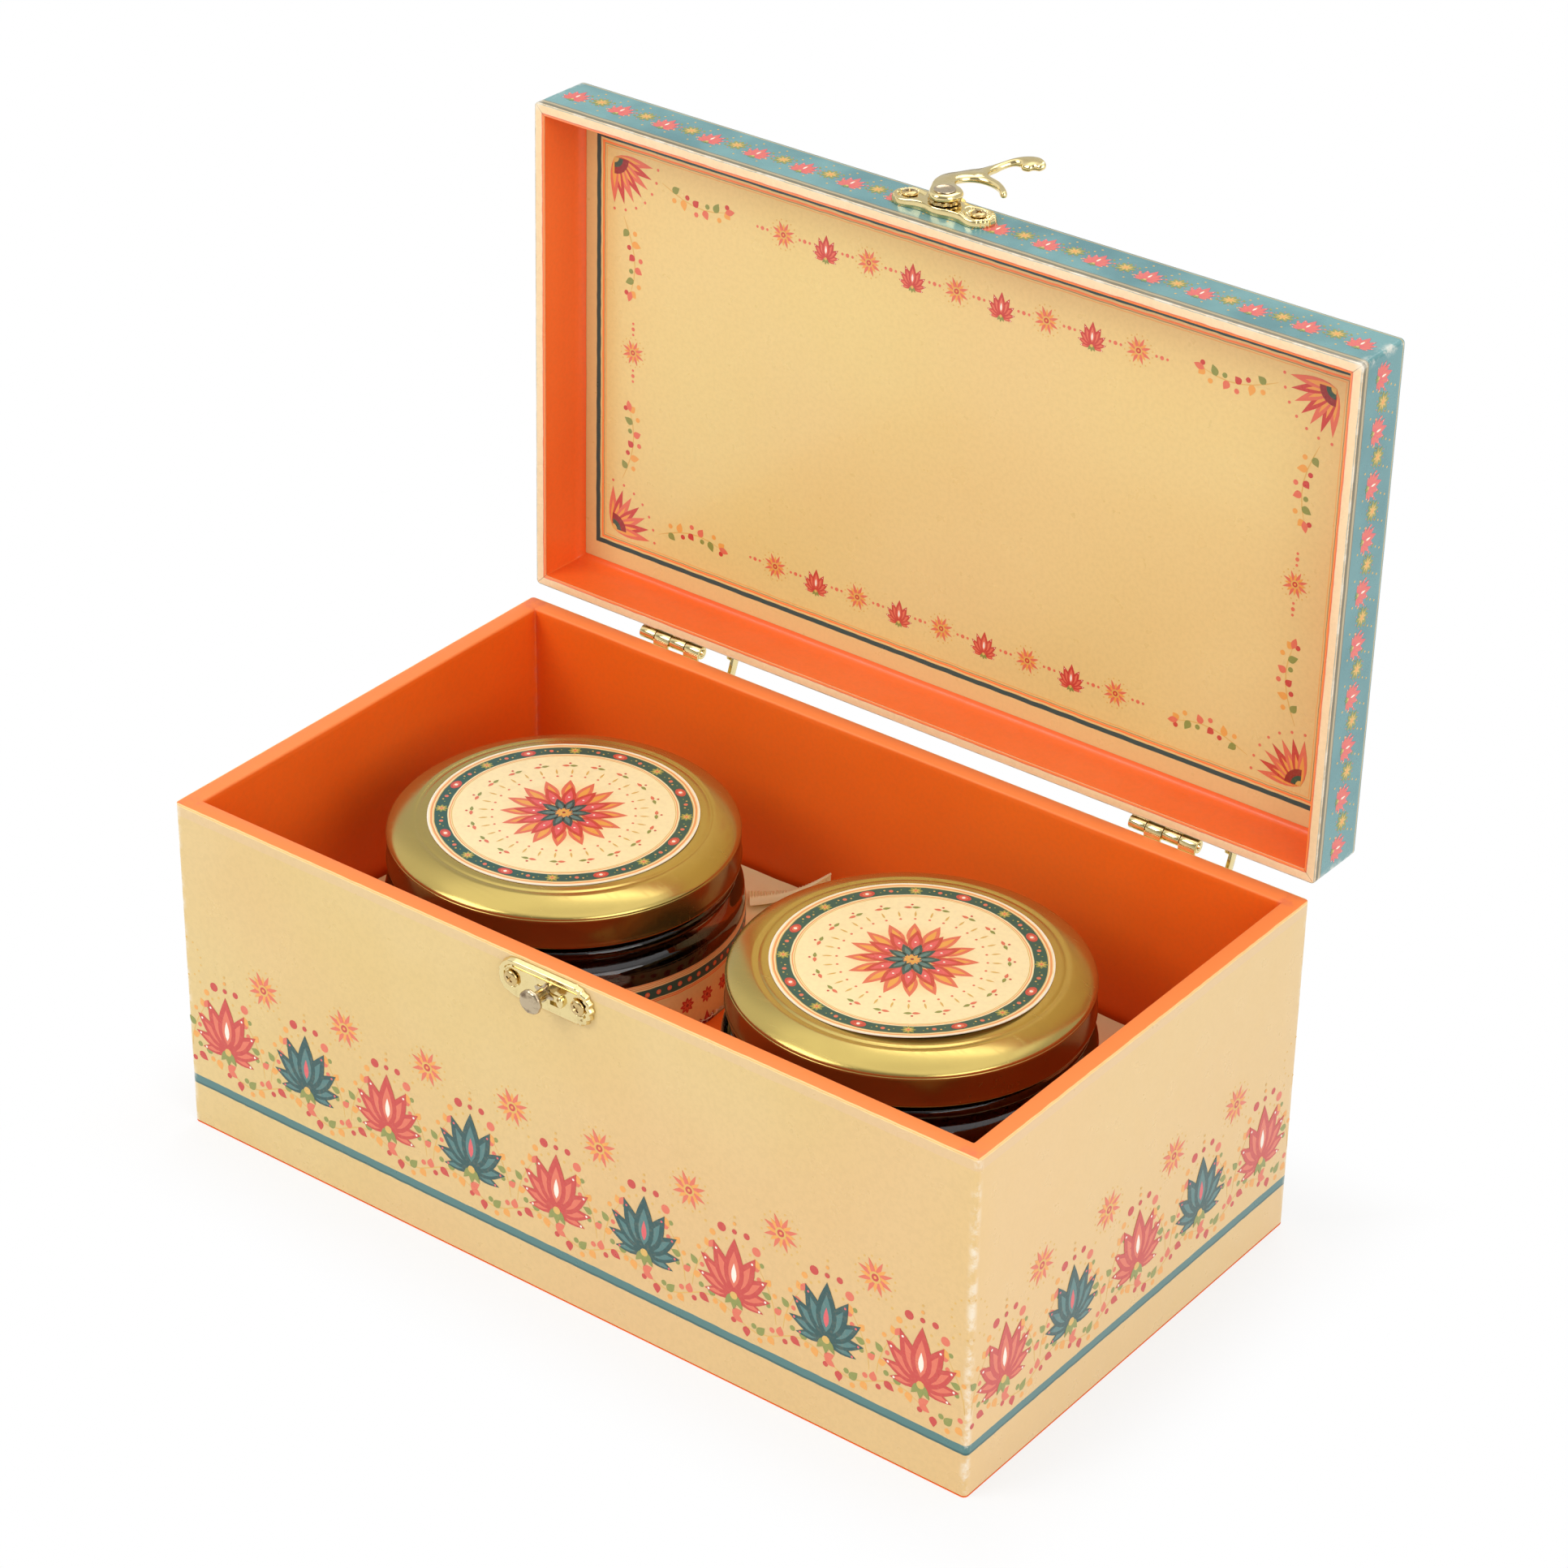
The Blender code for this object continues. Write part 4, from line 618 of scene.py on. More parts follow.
def objectFrom(name, form, place=None, material=None):
    mesh = bpy.data.meshes.new(name)
    form.to_mesh(mesh)
    form.free()
    mesh.transform(Matrix.Scale(mm, 4))
    if place is not None:
        mesh.transform(place)
    if material:
        mesh.materials.append(material)
    return newObject(name, mesh)


def soften(piece, angle):
    piece.data.shade_smooth()
    piece.data.set_sharp_from_angle(angle=math.radians(angle))


def discard(*made):
    for one in made:
        bpy.data.objects.remove(one)


def settle(piece, body, replaced=(), angle=35):
    if angle:
        soften(piece, angle)
    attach(piece, body)
    if replaced:
        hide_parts(*replaced)
    return piece


def show(name, form, material, body, nodes=(), place=None, angle=35):
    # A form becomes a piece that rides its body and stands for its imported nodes
    return settle(objectFrom(name, form, place, materials[material]), body, nodes, angle)


def flatten(piece):
    # The evaluated mesh, with its modifiers worked in
    graph = bpy.context.evaluated_depsgraph_get()
    mesh = bpy.data.meshes.new_from_object(
        piece.evaluated_get(graph), preserve_all_data_layers=True, depsgraph=graph
    )
    mesh.name = piece.name
    piece.modifiers.clear()
    piece.data = mesh
    return piece


def carve(piece, forms, place=None, operation="DIFFERENCE"):
    cutters = []
    for number, form in enumerate(forms):
        cutter = objectFrom(f"cutter{number}", form, place)
        step = piece.modifiers.new(f"cut{number}", "BOOLEAN")
        step.object = cutter
        step.operation = operation
        step.solver = "EXACT"
        cutters.append(cutter)
    bpy.context.view_layer.update()
    flatten(piece)
    discard(*cutters)
    return piece


def thicken(piece, thickness):
    cloth = piece.modifiers.new("thickness", "SOLIDIFY")
    cloth.thickness = thickness * mm
    cloth.offset = 0.0
    return flatten(piece)


def joinAll(name, parts):
    with bpy.context.temp_override(active_object=parts[0], selected_editable_objects=parts):
        bpy.ops.object.join()
    parts[0].name = name
    parts[0].data.name = name
    return parts[0]


def roundedOutline(halfX, halfY, radius, centreY=0.0, cornerSteps=6, sideSteps=1):
    arcs = []
    for quarter, (sideX, sideY) in enumerate(((1, 1), (-1, 1), (-1, -1), (1, -1))):
        arc = []
        for step in range(cornerSteps + 1):
            angle = math.radians(90 * (quarter + step / cornerSteps))
            x = sideX * (halfX - radius) + radius * math.cos(angle)
            y = centreY + sideY * (halfY - radius) + radius * math.sin(angle)
            arc.append(Vector((x, y)))
        arcs.append(arc)
    points = []
    for arc, following in zip(arcs, arcs[1:] + arcs[:1]):
        points += arc
        points += [arc[-1].lerp(following[0], step / sideSteps) for step in range(1, sideSteps)]
    return points


def sleeve(profile, size, centreY=0.0, sideSteps=1, wave=0.0, waveFrom=0.0, closed=True):
    # Rings of (inset, z) round the box; from an inset on, the wave pushes points in and out
    rings = []
    for inset, z in profile:
        radius = max(size["corner"] - inset, 0.4)
        halfX = size["halfX"] - inset
        halfY = size["halfY"] - inset
        ring = []
        for x, y in roundedOutline(halfX, halfY, radius, centreY, 6, sideSteps):
            if wave and inset >= waveFrom:
                push = wave * noise.noise(Vector((x * 0.045, y * 0.045, z * 0.06)))
                if abs(abs(x) - halfX) < 0.001:
                    x -= math.copysign(push, x)
                elif abs(abs(y - centreY) - halfY) < 0.001:
                    y -= math.copysign(push, y - centreY)
            ring.append((x, y, z))
        rings.append(ring)
    return loft(rings, closed)


def turned(profile, sides, closed=False):
    rings = []
    for radius, z in profile:
        ring = []
        for i in range(sides):
            angle = 2 * math.pi * i / sides
            reach = radius(angle) if callable(radius) else radius
            ring.append((reach * math.cos(angle), reach * math.sin(angle), z))
        rings.append(ring)
    return loft(rings, closed)


def ramped(low, high, steps):
    return [low + (high - low) * step / steps for step in range(steps + 1)]


# Box body papers
wallPaper = {"thickness": 0.25, "levels": 12, "wave": 0.05}
liningPaper = {"thickness": 0.25, "levels": 18, "sideSteps": 44, "wave": 0.16}


def makeBoxPapers():
    low, high = box["skin"], box["height"] - box["skin"]
    thick = wallPaper["thickness"]
    profile = [(0.1, low), (0.0, low + 0.1)]
    profile += [(0.0, z) for z in ramped(low + 2, high - 1, wallPaper["levels"])]
    profile += [(0.0, high - 0.25), (0.06, high - 0.08), (thick, high), (thick, low)]
    form = sleeve(profile, box, sideSteps=20)
    show("wall_paper", form, "wall", "box", ["outer_wrap"])

    wall, top = box["wall"], box["height"]
    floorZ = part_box("inner_lining")[0].z / mm
    profile = [(0.0, high + 0.1), (0.0, top - 0.14), (0.05, top - 0.05), (0.14, top)]
    profile += [(wall - 0.4, top), (wall - 0.12, top - 0.12), (wall, top - 0.4)]
    profile += [(wall, z) for z in ramped(top - 2, floorZ + 0.4, liningPaper["levels"])]
    behind = wall - liningPaper["thickness"]
    profile += [(wall, floorZ), (behind, floorZ), (behind, high + 0.1)]
    form = sleeve(profile, box, sideSteps=liningPaper["sideSteps"], wave=liningPaper["wave"], waveFrom=wall)
    show("lining_paper", form, "lining", "box", ["inner_lining"], angle=50)
    print("box papers made")


# Lid papers, made as the lid lies shut and then stood open
lidPaper = {"thickness": 0.25, "topEdge": 0.6, "rimEdge": 0.3}
lidLining = {"thickness": 0.25, "levels": 8, "sideSteps": 50, "wave": 0.14, "above": 0.35, "top": 13.25}


def makeLidPapers():
    rim, top, wall = lid["rimZ"], lid["topZ"], lid["wall"]
    size = dict(lid, corner=box["corner"])
    middle = lid["middleY"]
    edge, turnIn, thick = lidPaper["topEdge"], lidPaper["rimEdge"], lidPaper["thickness"]
    profile = [(4.0, top), (edge, top)]
    for step in range(1, 4):
        angle = math.radians(30 * step)
        profile.append((edge * (1 - math.sin(angle)), top - edge * (1 - math.cos(angle))))
    profile += [(0.0, z) for z in ramped(top - 2, rim + 2, 6)]
    for step in range(4):
        angle = math.radians(30 * step)
        profile.append((turnIn * (1 - math.cos(angle)), rim + turnIn * (1 - math.sin(angle))))
    back = rim + thick + 0.02
    profile += [(wall - 0.2, rim), (wall - 0.06, rim + 0.06), (wall, rim + 0.2), (wall, back), (thick, back)]
    bevel = edge * 0.3
    profile += [(thick, top - edge), (bevel + thick, top - bevel - thick), (edge + thick, top - thick)]
    form = sleeve(profile, size, middle, sideSteps=16, closed=False)
    show("lid_paper", form, "lid", "lid", ["lid_wrap"], lidPlace)

    low, high = rim + lidLining["above"], lidLining["top"]
    profile = [(wall, low), (wall + 0.04, low + 0.3)]
    profile += [(wall, z) for z in ramped(low + 1, high - 3.0, lidLining["levels"])]
    profile += [(wall + 0.05, high - 2.2), (wall + 0.25, high - 1.3), (wall + 0.7, high - 0.5)]
    profile += [(wall + 1.3, high - 0.12), (wall + 1.9, high)]
    behind = wall - lidLining["thickness"]
    profile += [(behind, high), (behind, low)]
    form = sleeve(profile, size, middle, lidLining["sideSteps"], lidLining["wave"], wall)
    show("lid_lining_paper", form, "lidLining", "lid", ["lid_lining"], lidPlace, 50)
    print("lid papers made")


# Satin laid on the insert, with round holes for the jars and an open bay in the middle
satin = {
    "halfX": 111.2, "halfY": 59.7, "z": 42.0, "hole": 45.25, "bay": 22.0, "bayBack": 43.3, "cloth": 0.35,
    "step": 3.0, "fold": 0.16, "edgeLift": 0.14, "calmWithin": 3.0,
}


def inSatin(x, y):
    if abs(x) > satin["halfX"] or abs(y) > satin["halfY"]:
        return False
    if math.hypot(abs(x) - jars["spacing"] / 2, y) < satin["hole"]:
        return False
    return not (abs(x) < satin["bay"] and y < satin["bayBack"])


def makeSatin():
    outlines = [[(x, y) for x, y in roundedOutline(satin["halfX"], satin["halfY"], 2.0, 0.0, 4, 40)]]
    for side in (-1, 1):
        centre = side * jars["spacing"] / 2
        outlines.append([(centre + x, y) for x, y in circle(satin["hole"], 120)])
    bay, back = satin["bay"], satin["bayBack"]
    outlines.append([(-bay, -satin["halfY"]), (bay, -satin["halfY"]), (bay, back), (-bay, back)])
    points, edges = [], []
    for outline in outlines:
        first = len(points)
        points += [Vector(p) for p in outline]
        edges += [(first + i, first + (i + 1) % len(outline)) for i in range(len(outline))]
    step = satin["step"]
    for row in range(int(2 * satin["halfY"] / step)):
        for column in range(int(2 * satin["halfX"] / step)):
            x = -satin["halfX"] + (column + 0.5 + 0.5 * (row % 2)) * step
            y = -satin["halfY"] + (row + 0.5) * step
            if inSatin(x - 1, y) and inSatin(x + 1, y) and inSatin(x, y - 1) and inSatin(x, y + 1):
                points.append(Vector((x, y)))
    made = delaunay_2d_cdt(points, edges, [], 0, 1e-4)
    flat, faces = made[0], made[2]
    form = bmesh.new()
    lift = []
    for x, y in flat:
        away = min(math.hypot(x - side * jars["spacing"] / 2, y) - satin["hole"] for side in (-1, 1))
        calm = min(max(away / satin["calmWithin"], 0.0), 1.0)
        drift = 3 * noise.noise(Vector((x * 0.05, y * 0.05, 0)))
        fold = satin["fold"] * math.sin(0.9 * y + 0.35 * x + drift)
        lift.append(form.verts.new((x, y, satin["z"] + calm * fold + satin["edgeLift"] * (1 - calm))))
    for face in faces:
        middle = sum((flat[i] for i in face), Vector((0, 0))) / len(face)
        if inSatin(middle.x, middle.y):
            a, b, c = (flat[i] for i in face)
            size = (b - a).cross(c - a) / 2
            if abs(size) > 1e-6:
                form.faces.new([lift[i] for i in (face if size > 0 else reversed(face))])
    for point in [v for v in form.verts if not v.link_faces]:
        form.verts.remove(point)
    piece = objectFrom("satin_cloth", form, material=materials["satin"])
    settle(thicken(piece, satin["cloth"]), "box", ["satin_cover"], angle=60)


# The gathered strip between the jars at the back: ribs across it and a hem rolled over
gathers = {
    "start": (-31.0, 46.4, 43.5), "end": (-15.6, 59.6, 43.5), "width": 6.8, "cloth": 0.3, "columns": 16,
    "ribs": 26, "rib": 0.6, "ribbed": 0.75, "rise": 8.4, "hem": 1.4, "sway": 0.15, "flatWidth": 10.2,
}


def makeGathers():
    start, end = Vector(gathers["start"]), Vector(gathers["end"])
    along = (end - start).normalized()
    across = Vector((along.y, -along.x, 0))
    rows, columns, width = gathers["ribs"] * 4, gathers["columns"], gathers["width"]
    form = bmesh.new()
    grid = []
    for row in range(rows + 1):
        share = row / rows
        points = []
        for column in range(columns + 1):
            side = column / columns
            turn = 2 * math.pi * share * gathers["ribs"] + 1.5 * side
            rib = gathers["rib"] * math.sin(turn) if side < gathers["ribbed"] else 0.0
            hem = gathers["hem"] * max(math.sin(math.pi * (1.8 * side - 0.8)), 0.0)
            point = start.lerp(end, share)
            point.z += gathers["rise"] * side * share * share + rib * 0.5 + hem
            sway = gathers["sway"] * math.sin(9 * share + 4 * side)
            point += across * (width * (side - 0.5) * (1 - 0.3 * share) + sway)
            points.append(form.verts.new(point))
        grid.append(points)
    for near, far in zip(grid, grid[1:]):
        for i in range(columns):
            form.faces.new((near[i], near[i + 1], far[i + 1], far[i]))
    area = sum(face.calc_area() for face in form.faces)
    piece = objectFrom("satin_gathers", form, material=materials["satin"])
    settle(thicken(piece, gathers["cloth"]), "box", ["satin_ruffle"], angle=60)
    print("gathers made, area", round(area, 1), "square mm")


# Jars: glass with a threaded finish, dark contents and a printed sleeve
glass = {
    "radius": 44.0, "height": 74.4, "wall": 2.8, "base": 4.2, "heel": 5.0, "shoulder": 56.0, "mouth": 37.4,
    "finish": 40.3, "finishHeight": 8.2, "lip": 1.2, "bead": 42.2, "beadHeight": 3.4,
    "starts": 4, "threadDepth": 0.7, "threadRise": 2.6, "threadWidth": 1.8, "threadRows": 18,
    "fillGap": 0.3, "fillBelow": 66.0, "fillTop": [(36.6, 67.3), (35.8, 67.85), (34.8, 68.0), (10.0, 68.0)],
}


def glassOutlines():
    radius, heel, lip, finish = (glass[key] for key in ("radius", "heel", "lip", "finish"))
    neck = glass["height"] - glass["finishHeight"]
    beadLow = neck - glass["beadHeight"]
    foot = radius - heel
    outer = [(foot * 0.8, 0.8), (foot * 0.9, 0.5), (foot * 0.96, 0.0), (foot, 0.0)]
    for step in range(1, 10):
        angle = math.radians(10 * step)
        outer.append((foot + heel * math.sin(angle), heel * (1 - math.cos(angle))))
    outer += [(radius, glass["shoulder"] - 2)]
    rise = (beadLow - glass["shoulder"]) * 0.85
    inward = radius - finish
    for share in ramped(0.0, 1.0, 9):
        outer.append((radius - inward * share * share, glass["shoulder"] + rise * math.sqrt(share)))
    bead = glass["bead"]
    outer += [(bead - 0.5, beadLow + 0.1), (bead, beadLow + 0.6), (bead + 0.05, neck - 1.7)]
    outer += [(bead - 0.3, neck - 1.1), (finish + 0.4, neck - 0.2), (finish, neck)]
    low = neck + lip * 0.5
    reach = glass["height"] - lip - low

    def threadAt(z):
        def size(angle):
            share = (angle * glass["starts"] / (2 * math.pi)) % 1.0
            middle = low + glass["threadWidth"] / 2 + glass["threadRise"] * share
            ridge = max(1 - abs(z - middle) / (glass["threadWidth"] / 2), 0.0)
            fade = min(min(share, 1 - share) * 8, 1.0)
            return finish + glass["threadDepth"] * math.sin(ridge * math.pi / 2) * fade

        return size

    threaded = [low + reach * share for share in ramped(0, 1, glass["threadRows"])]
    top = glass["height"]
    outer += [(threadAt(z), z) for z in threaded]
    outer += [(finish - 0.15, top - 0.45), (finish - 0.5, top - 0.1), (finish - 0.9, top)]
    mouth, inside = glass["mouth"], radius - glass["wall"]
    inner = [(mouth + 0.7, top), (mouth + 0.3, top - 0.2), (mouth, top - 0.7), (mouth, beadLow + 1)]
    for share in ramped(0.0, 1.0, 6):
        blend = share * share * (3 - 2 * share)
        inner.append((mouth + (inside - mouth) * blend, beadLow - (beadLow - glass["shoulder"] + 5) * share))
    inner += [(inside, 14.0), (inside, glass["base"] + 4), (inside - 0.5, glass["base"] + 2)]
    inner += [(inside - 2, glass["base"] + 0.6), (foot * 0.8, glass["base"])]
    return outer, inner


def makeJar(number):
    body = f"jar_{number}"
    outer, inner = glassOutlines()
    place = jarPlace(number)
    sides = jars["sides"]
    glassForm = turned(outer + inner, sides)
    show(f"{body}_clear_glass", glassForm, "glass", body, [f"{body}_glass"], place, 60)
    gap = glass["fillGap"]
    fill = [(radius - gap, z + gap) for radius, z in reversed(inner) if z < glass["fillBelow"]]
    fillForm = turned(fill + glass["fillTop"], sides)
    show(f"{body}_preserve", fillForm, "preserve", body, [f"{body}_contents"], place, 60)
    low, high = labels["low"], labels["high"]
    reach = labels["reach"]
    outline = [(reach - 0.19, low), (reach - 0.03, low), (reach, low + 0.06), (reach, high - 0.06)]
    outline += [(reach - 0.03, high), (reach - 0.19, high)]
    sleeveForm = turned(outline, sides, True)
    show(f"{body}_sleeve", sleeveForm, "bodyLabel", body, [f"{body}_label"], place, 50)


# Caps: pressed tin with a raised middle panel, a broad round ring, a curled lower edge and four lugs
cap = {
    "radius": 43.0, "panel": 11.2, "fall": 3.3, "ringIn": 36.4, "tin": 0.5,
    "lugs": 4, "lugReach": 1.2, "lugSpan": 14.0, "steps": 14, "sides": 144,
}


def ringDrop(across):
    # How far the ring has fallen, from its inner edge at 0 to the skirt at 1
    return 0.03 + 0.42 * across + 0.55 * (1 - math.sqrt(max(1 - across * across, 0.0)))


def makeCap(number):
    body = f"cap_{number}"
    panel, radius, tin, ringIn = cap["panel"], cap["radius"], cap["tin"], cap["ringIn"]

    def lugged(angle):
        turn = math.degrees(angle) % (360 / cap["lugs"])
        return radius - tin - (cap["lugReach"] if 1.0 < turn < cap["lugSpan"] else 0.0)

    ring = []
    for share in ramped(0.0, 1.0, cap["steps"]):
        across = math.sin(math.pi / 2 * share)
        ring.append((ringIn + (radius - 0.1 - ringIn) * across, panel - cap["fall"] * ringDrop(across)))
    skirt = ring[-1][1]
    outside = [(12.0, panel), (34.4, panel), (34.9, panel - 0.05), (35.3, panel - 0.2), (35.6, panel - 0.26)]
    outside += [(35.95, panel - 0.22), *ring, (42.9, skirt - 0.1), (43.04, skirt - 0.2)]
    outside += [(43.07, skirt - 0.38), (radius, skirt - 0.6), (radius, 1.5), (43.06, 1.2), (43.2, 0.9)]
    outside += [(43.25, 0.6), (43.2, 0.3), (43.05, 0.08)]
    inside = [(42.85, 0.0), (lugged, 0.0), (lugged, 0.8), (radius - tin, 1.2), (radius - tin, skirt - 0.5)]
    inside += [(reach - tin * 0.35, z - tin) for reach, z in reversed(ring[:-2])]
    inside += [(35.6, panel - tin - 0.25), (34.3, panel - tin), (12.0, panel - tin)]
    place = jarPlace(number, jars["capSeat"])
    form = turned(outside + inside, cap["sides"])
    show(f"{body}_tin", form, "tin", body, [f"jar_{number}_cap"], place, 50)
    makeCapLabel(number, place)


capLabel = {
    "thickness": 0.22, "glue": 0.1, "curl": {1: (0.2, 40.0), 2: (0.9, -40.0)}, "sides": 120, "trim": 0.0015,
    "radii": (3, 7, 11, 15, 18, 20, 22, 24, 26, 27.5, 29, 30.2, 31.2, 32, 32.6, 33),
}


def curlAt(number, x, y):
    # How far a label's edge has lifted at a point
    height, bearing = capLabel["curl"][number]
    along = x * math.cos(math.radians(bearing)) + y * math.sin(math.radians(bearing))
    return height * max((along - 17.0) / 16.0, 0.0) ** 2


def makeCapLabel(number, place):
    base, sides, radii = cap["panel"] + capLabel["glue"], capLabel["sides"], capLabel["radii"]
    form = bmesh.new()
    edges = []
    for z in (base, base + capLabel["thickness"]):
        centre = form.verts.new((0, 0, z))
        rings = []
        for radius in radii:
            ring = []
            for i in range(sides):
                angle = 2 * math.pi * i / sides
                # The outermost ring wanders a little, like paper cut by hand
                reach = radius * (1 + capLabel["trim"] * math.sin(5 * angle + number) * (radius == radii[-1]))
                x, y = reach * math.cos(angle), reach * math.sin(angle)
                ring.append(form.verts.new((x, y, z + curlAt(number, x, y))))
            rings.append(ring)
        for i in range(sides):
            form.faces.new((centre, rings[0][i], rings[0][(i + 1) % sides]))
        for inner, outer in zip(rings, rings[1:]):
            for i in range(sides):
                j = (i + 1) % sides
                form.faces.new((inner[i], outer[i], outer[j], inner[j]))
        edges.append(rings[-1])
    bridge(form, *edges)
    nodes, material = [f"jar_{number}_cap_label"], f"capLabel{number}"
    show(f"cap_{number}_paper", outwards(form), material, f"cap_{number}", nodes, place, 40)


# Latch and catch
plates = {"low": 0.1, "length": 28.0, "width": 10.8, "lobe": 4.3, "waist": 3.4, "latchTop": 2.3, "bore": 1.72}
hook = {"seat": 3.6, "thickness": 1.6, "lift": 0.3, "liftFrom": 19.3, "eye": 1.7, "insetShare": 0.36}
relief = {"steps": 28, "crowding": 1.5, "latchSpine": 10.4, "catchSpine": 8.6}
hookDrawn = [
    (-3.4, -1.6), (-4.7, 0.9), (-6.0, 3.7), (-6.4, 6.7), (-5.8, 9.2), (-4.5, 11.5), (-3.1, 14.3),
    (-1.7, 16.5), (-0.8, 19.3), (0.7, 21.5), (2.3, 23.6), (4.3, 25.2), (6.7, 26.1), (9.0, 26.1),
    (10.9, 25.1), (11.6, 24.0), (10.8, 22.8), (9.2, 22.7), (8.3, 21.9), (6.5, 21.9), (5.3, 22.8),
    (3.6, 22.6), (2.0, 20.6), (1.3, 18.2), (1.6, 15.6), (3.0, 14.2), (6.6, 12.9), (9.2, 11.2),
    (10.9, 9.6), (11.7, 8.3), (11.1, 7.5), (10.1, 7.9), (8.1, 9.8), (5.4, 11.0), (2.8, 11.3),
    (0.8, 10.8), (-0.8, 9.4), (-1.6, 7.4), (-0.4, 5.2), (2.6, 3.6), (4.1, 1.4), (3.6, -2.0),
    (1.0, -3.9), (-1.6, -3.6),
]


def insetOutline(points, distance):
    moved = []
    for i, here in enumerate(points):
        before, after = Vector(points[i - 1]), Vector(points[(i + 1) % len(points)])
        along = (after - before).normalized()
        moved.append((here[0] - along.y * distance, here[1] + along.x * distance))
    return moved


def smoothOutline(points, steps):
    curve = []
    count = len(points)
    for i in range(count):
        a, b, c, d = (Vector(points[(i + k - 1) % count]) for k in range(4))
        for step in range(steps):
            t = step / steps
            bend, twist = 2 * a - 5 * b + 4 * c - d, 3 * b - a - 3 * c + d
            point = 0.5 * (2 * b + (c - a) * t + bend * t * t + twist * t**3)
            curve.append((point.x, point.y))
    return curve


def ringWidths(points):
    # How wide the form is at each point, measured straight across it, then evened along the outline
    count = len(points)
    widths = []
    for i, here in enumerate(points):
        before, after = Vector(points[i - 1]), Vector(points[(i + 1) % count])
        along = (after - before).normalized()
        inward = Vector((-along.y, along.x))
        nearest = 9.0
        for j in range(count):
            a, b = Vector(points[j]) - Vector(here), Vector(points[(j + 1) % count]) - Vector(here)
            edge = b - a
            cross = inward.x * edge.y - inward.y * edge.x
            if abs(cross) > 1e-9:
                reach = (a.x * edge.y - a.y * edge.x) / cross
                share = (a.x * inward.y - a.y * inward.x) / cross
                if 0 <= share <= 1 and 0.05 < reach < nearest:
                    nearest = reach
        widths.append(nearest)
    return [min(widths[(i + k) % count] for k in range(-5, 6)) for i in range(count)]


def stacked(outline, levels, lift=None):
    # Levels of (inset, z); no inset passes the hook's share of the form's own width
    widths = ringWidths(outline)
    rings = []
    for inset, z in levels:
        ring = []
        for i, here in enumerate(outline):
            beside = [outline[i - 1], here, outline[(i + 1) % len(outline)]]
            x, y = insetOutline(beside, min(inset, hook["insetShare"] * widths[i]))[1]
            ring.append((x, y, z + (lift(x, y) if lift else 0.0)))
        rings.append(ring)
    form = loft(rings)
    bmesh.ops.triangulate(form, faces=[face for face in form.faces if len(face.verts) > 4])
    return form


def ease(value, low, high):
    share = min(max((value - low) / (high - low), 0.0), 1.0)
    return share * share * (3 - 2 * share)


def lobedOutline(steps=288):
    end, reach = fittings["screws"] / 2, plates["length"] / 2
    points = []
    for i in range(steps):
        angle = 2 * math.pi * i / steps
        x = reach * math.cos(angle)
        lobe = math.sqrt(max(plates["lobe"] ** 2 - (abs(x) - end) ** 2, 0.0))
        middle = math.sqrt(max((plates["width"] / 2) ** 2 - x * x, 0.0)) if math.sin(angle) >= 0 else 0.0
        waist = plates["waist"] if math.sin(angle) >= 0 else plates["lobe"] - 0.35 + 0.35 * math.cos(x * 0.64)
        half = max(lobe, middle, waist if abs(x) < end else 0.0)
        flute = 1 - 0.03 * (0.5 - 0.5 * math.cos(angle * 40)) * ease(abs(x), end + 1.6, end + 3.0)
        points.append(Vector((x * flute, half * flute * (1.0 if math.sin(angle) >= 0 else -1.0))))
    return points


def roundEndOutline(steps=40):
    # A long plate with round ends, scalloped at the right
    radius = plates["width"] / 2
    points = []
    for x, y in roundedOutline(plates["length"] / 2, radius, radius, 0.0, steps, 44):
        angle = math.atan2(y, abs(x) - (plates["length"] / 2 - radius))
        amount = 0.035 * ease(x, 8.6, 10.5) + 0.008 * ease(-x, 8.6, 10.5)
        flute = 1 - amount * (0.5 - 0.5 * math.cos(angle * 16))
        points.append(Vector((x * flute, y * flute)))
    return points


def reliefForm(outline, spine, heightAt):
    # A plate on a flat back: rings run from its outline in to a spine along X, each point at its own height
    form = bmesh.new()
    rings = [[(point, 0.0) for point in outline]]
    for step in range(1, relief["steps"] + 1):
        share = (step / relief["steps"]) ** relief["crowding"]
        ring = []
        for point in outline:
            inner = Vector((min(max(point.x, -spine), spine), 0))
            place = point.lerp(inner, share)
            ring.append((place, (point - place).length))
        rings.append(ring)
    rows = [[form.verts.new((p.x, p.y, plates["low"])) for p in outline]]
    rows += [[form.verts.new((p.x, p.y, heightAt(p.x, p.y, inset))) for p, inset in ring] for ring in rings]
    form.faces.new(list(reversed(rows[0])))
    for low, high in zip(rows, rows[1:]):
        bridge(form, low, high)
    bmesh.ops.remove_doubles(form, verts=form.verts, dist=0.004)
    bmesh.ops.dissolve_degenerate(form, edges=form.edges, dist=0.001)
    return outwards(form)


def latchHeight(x, y, inset):
    # A cushion with a smooth tall wall, sunk and pitted round the two screws
    wall = 0.9 + (plates["latchTop"] - 1.0) * math.sin(math.pi / 2 * min(inset / 0.4, 1.0))
    fall = 0.45 * ease(abs(x), 5.0, 10.5) * ease(inset, 2.4, 0.5)
    z = wall + 0.1 * ease(inset, 0.4, 2.0) - fall
    away = math.hypot(abs(x) - fittings["screws"] / 2, y - 0.5)
    near = ease(away, 4.2, 3.1) * ease(inset, 1.0, 1.7)
    pits = noise.noise(Vector((x * 1.7, y * 1.7, 3.0))) + 0.6 * noise.noise(Vector((x * 4.0, y * 4.0, 7.0)))
    return z - near * (0.8 + 0.14 * pits)


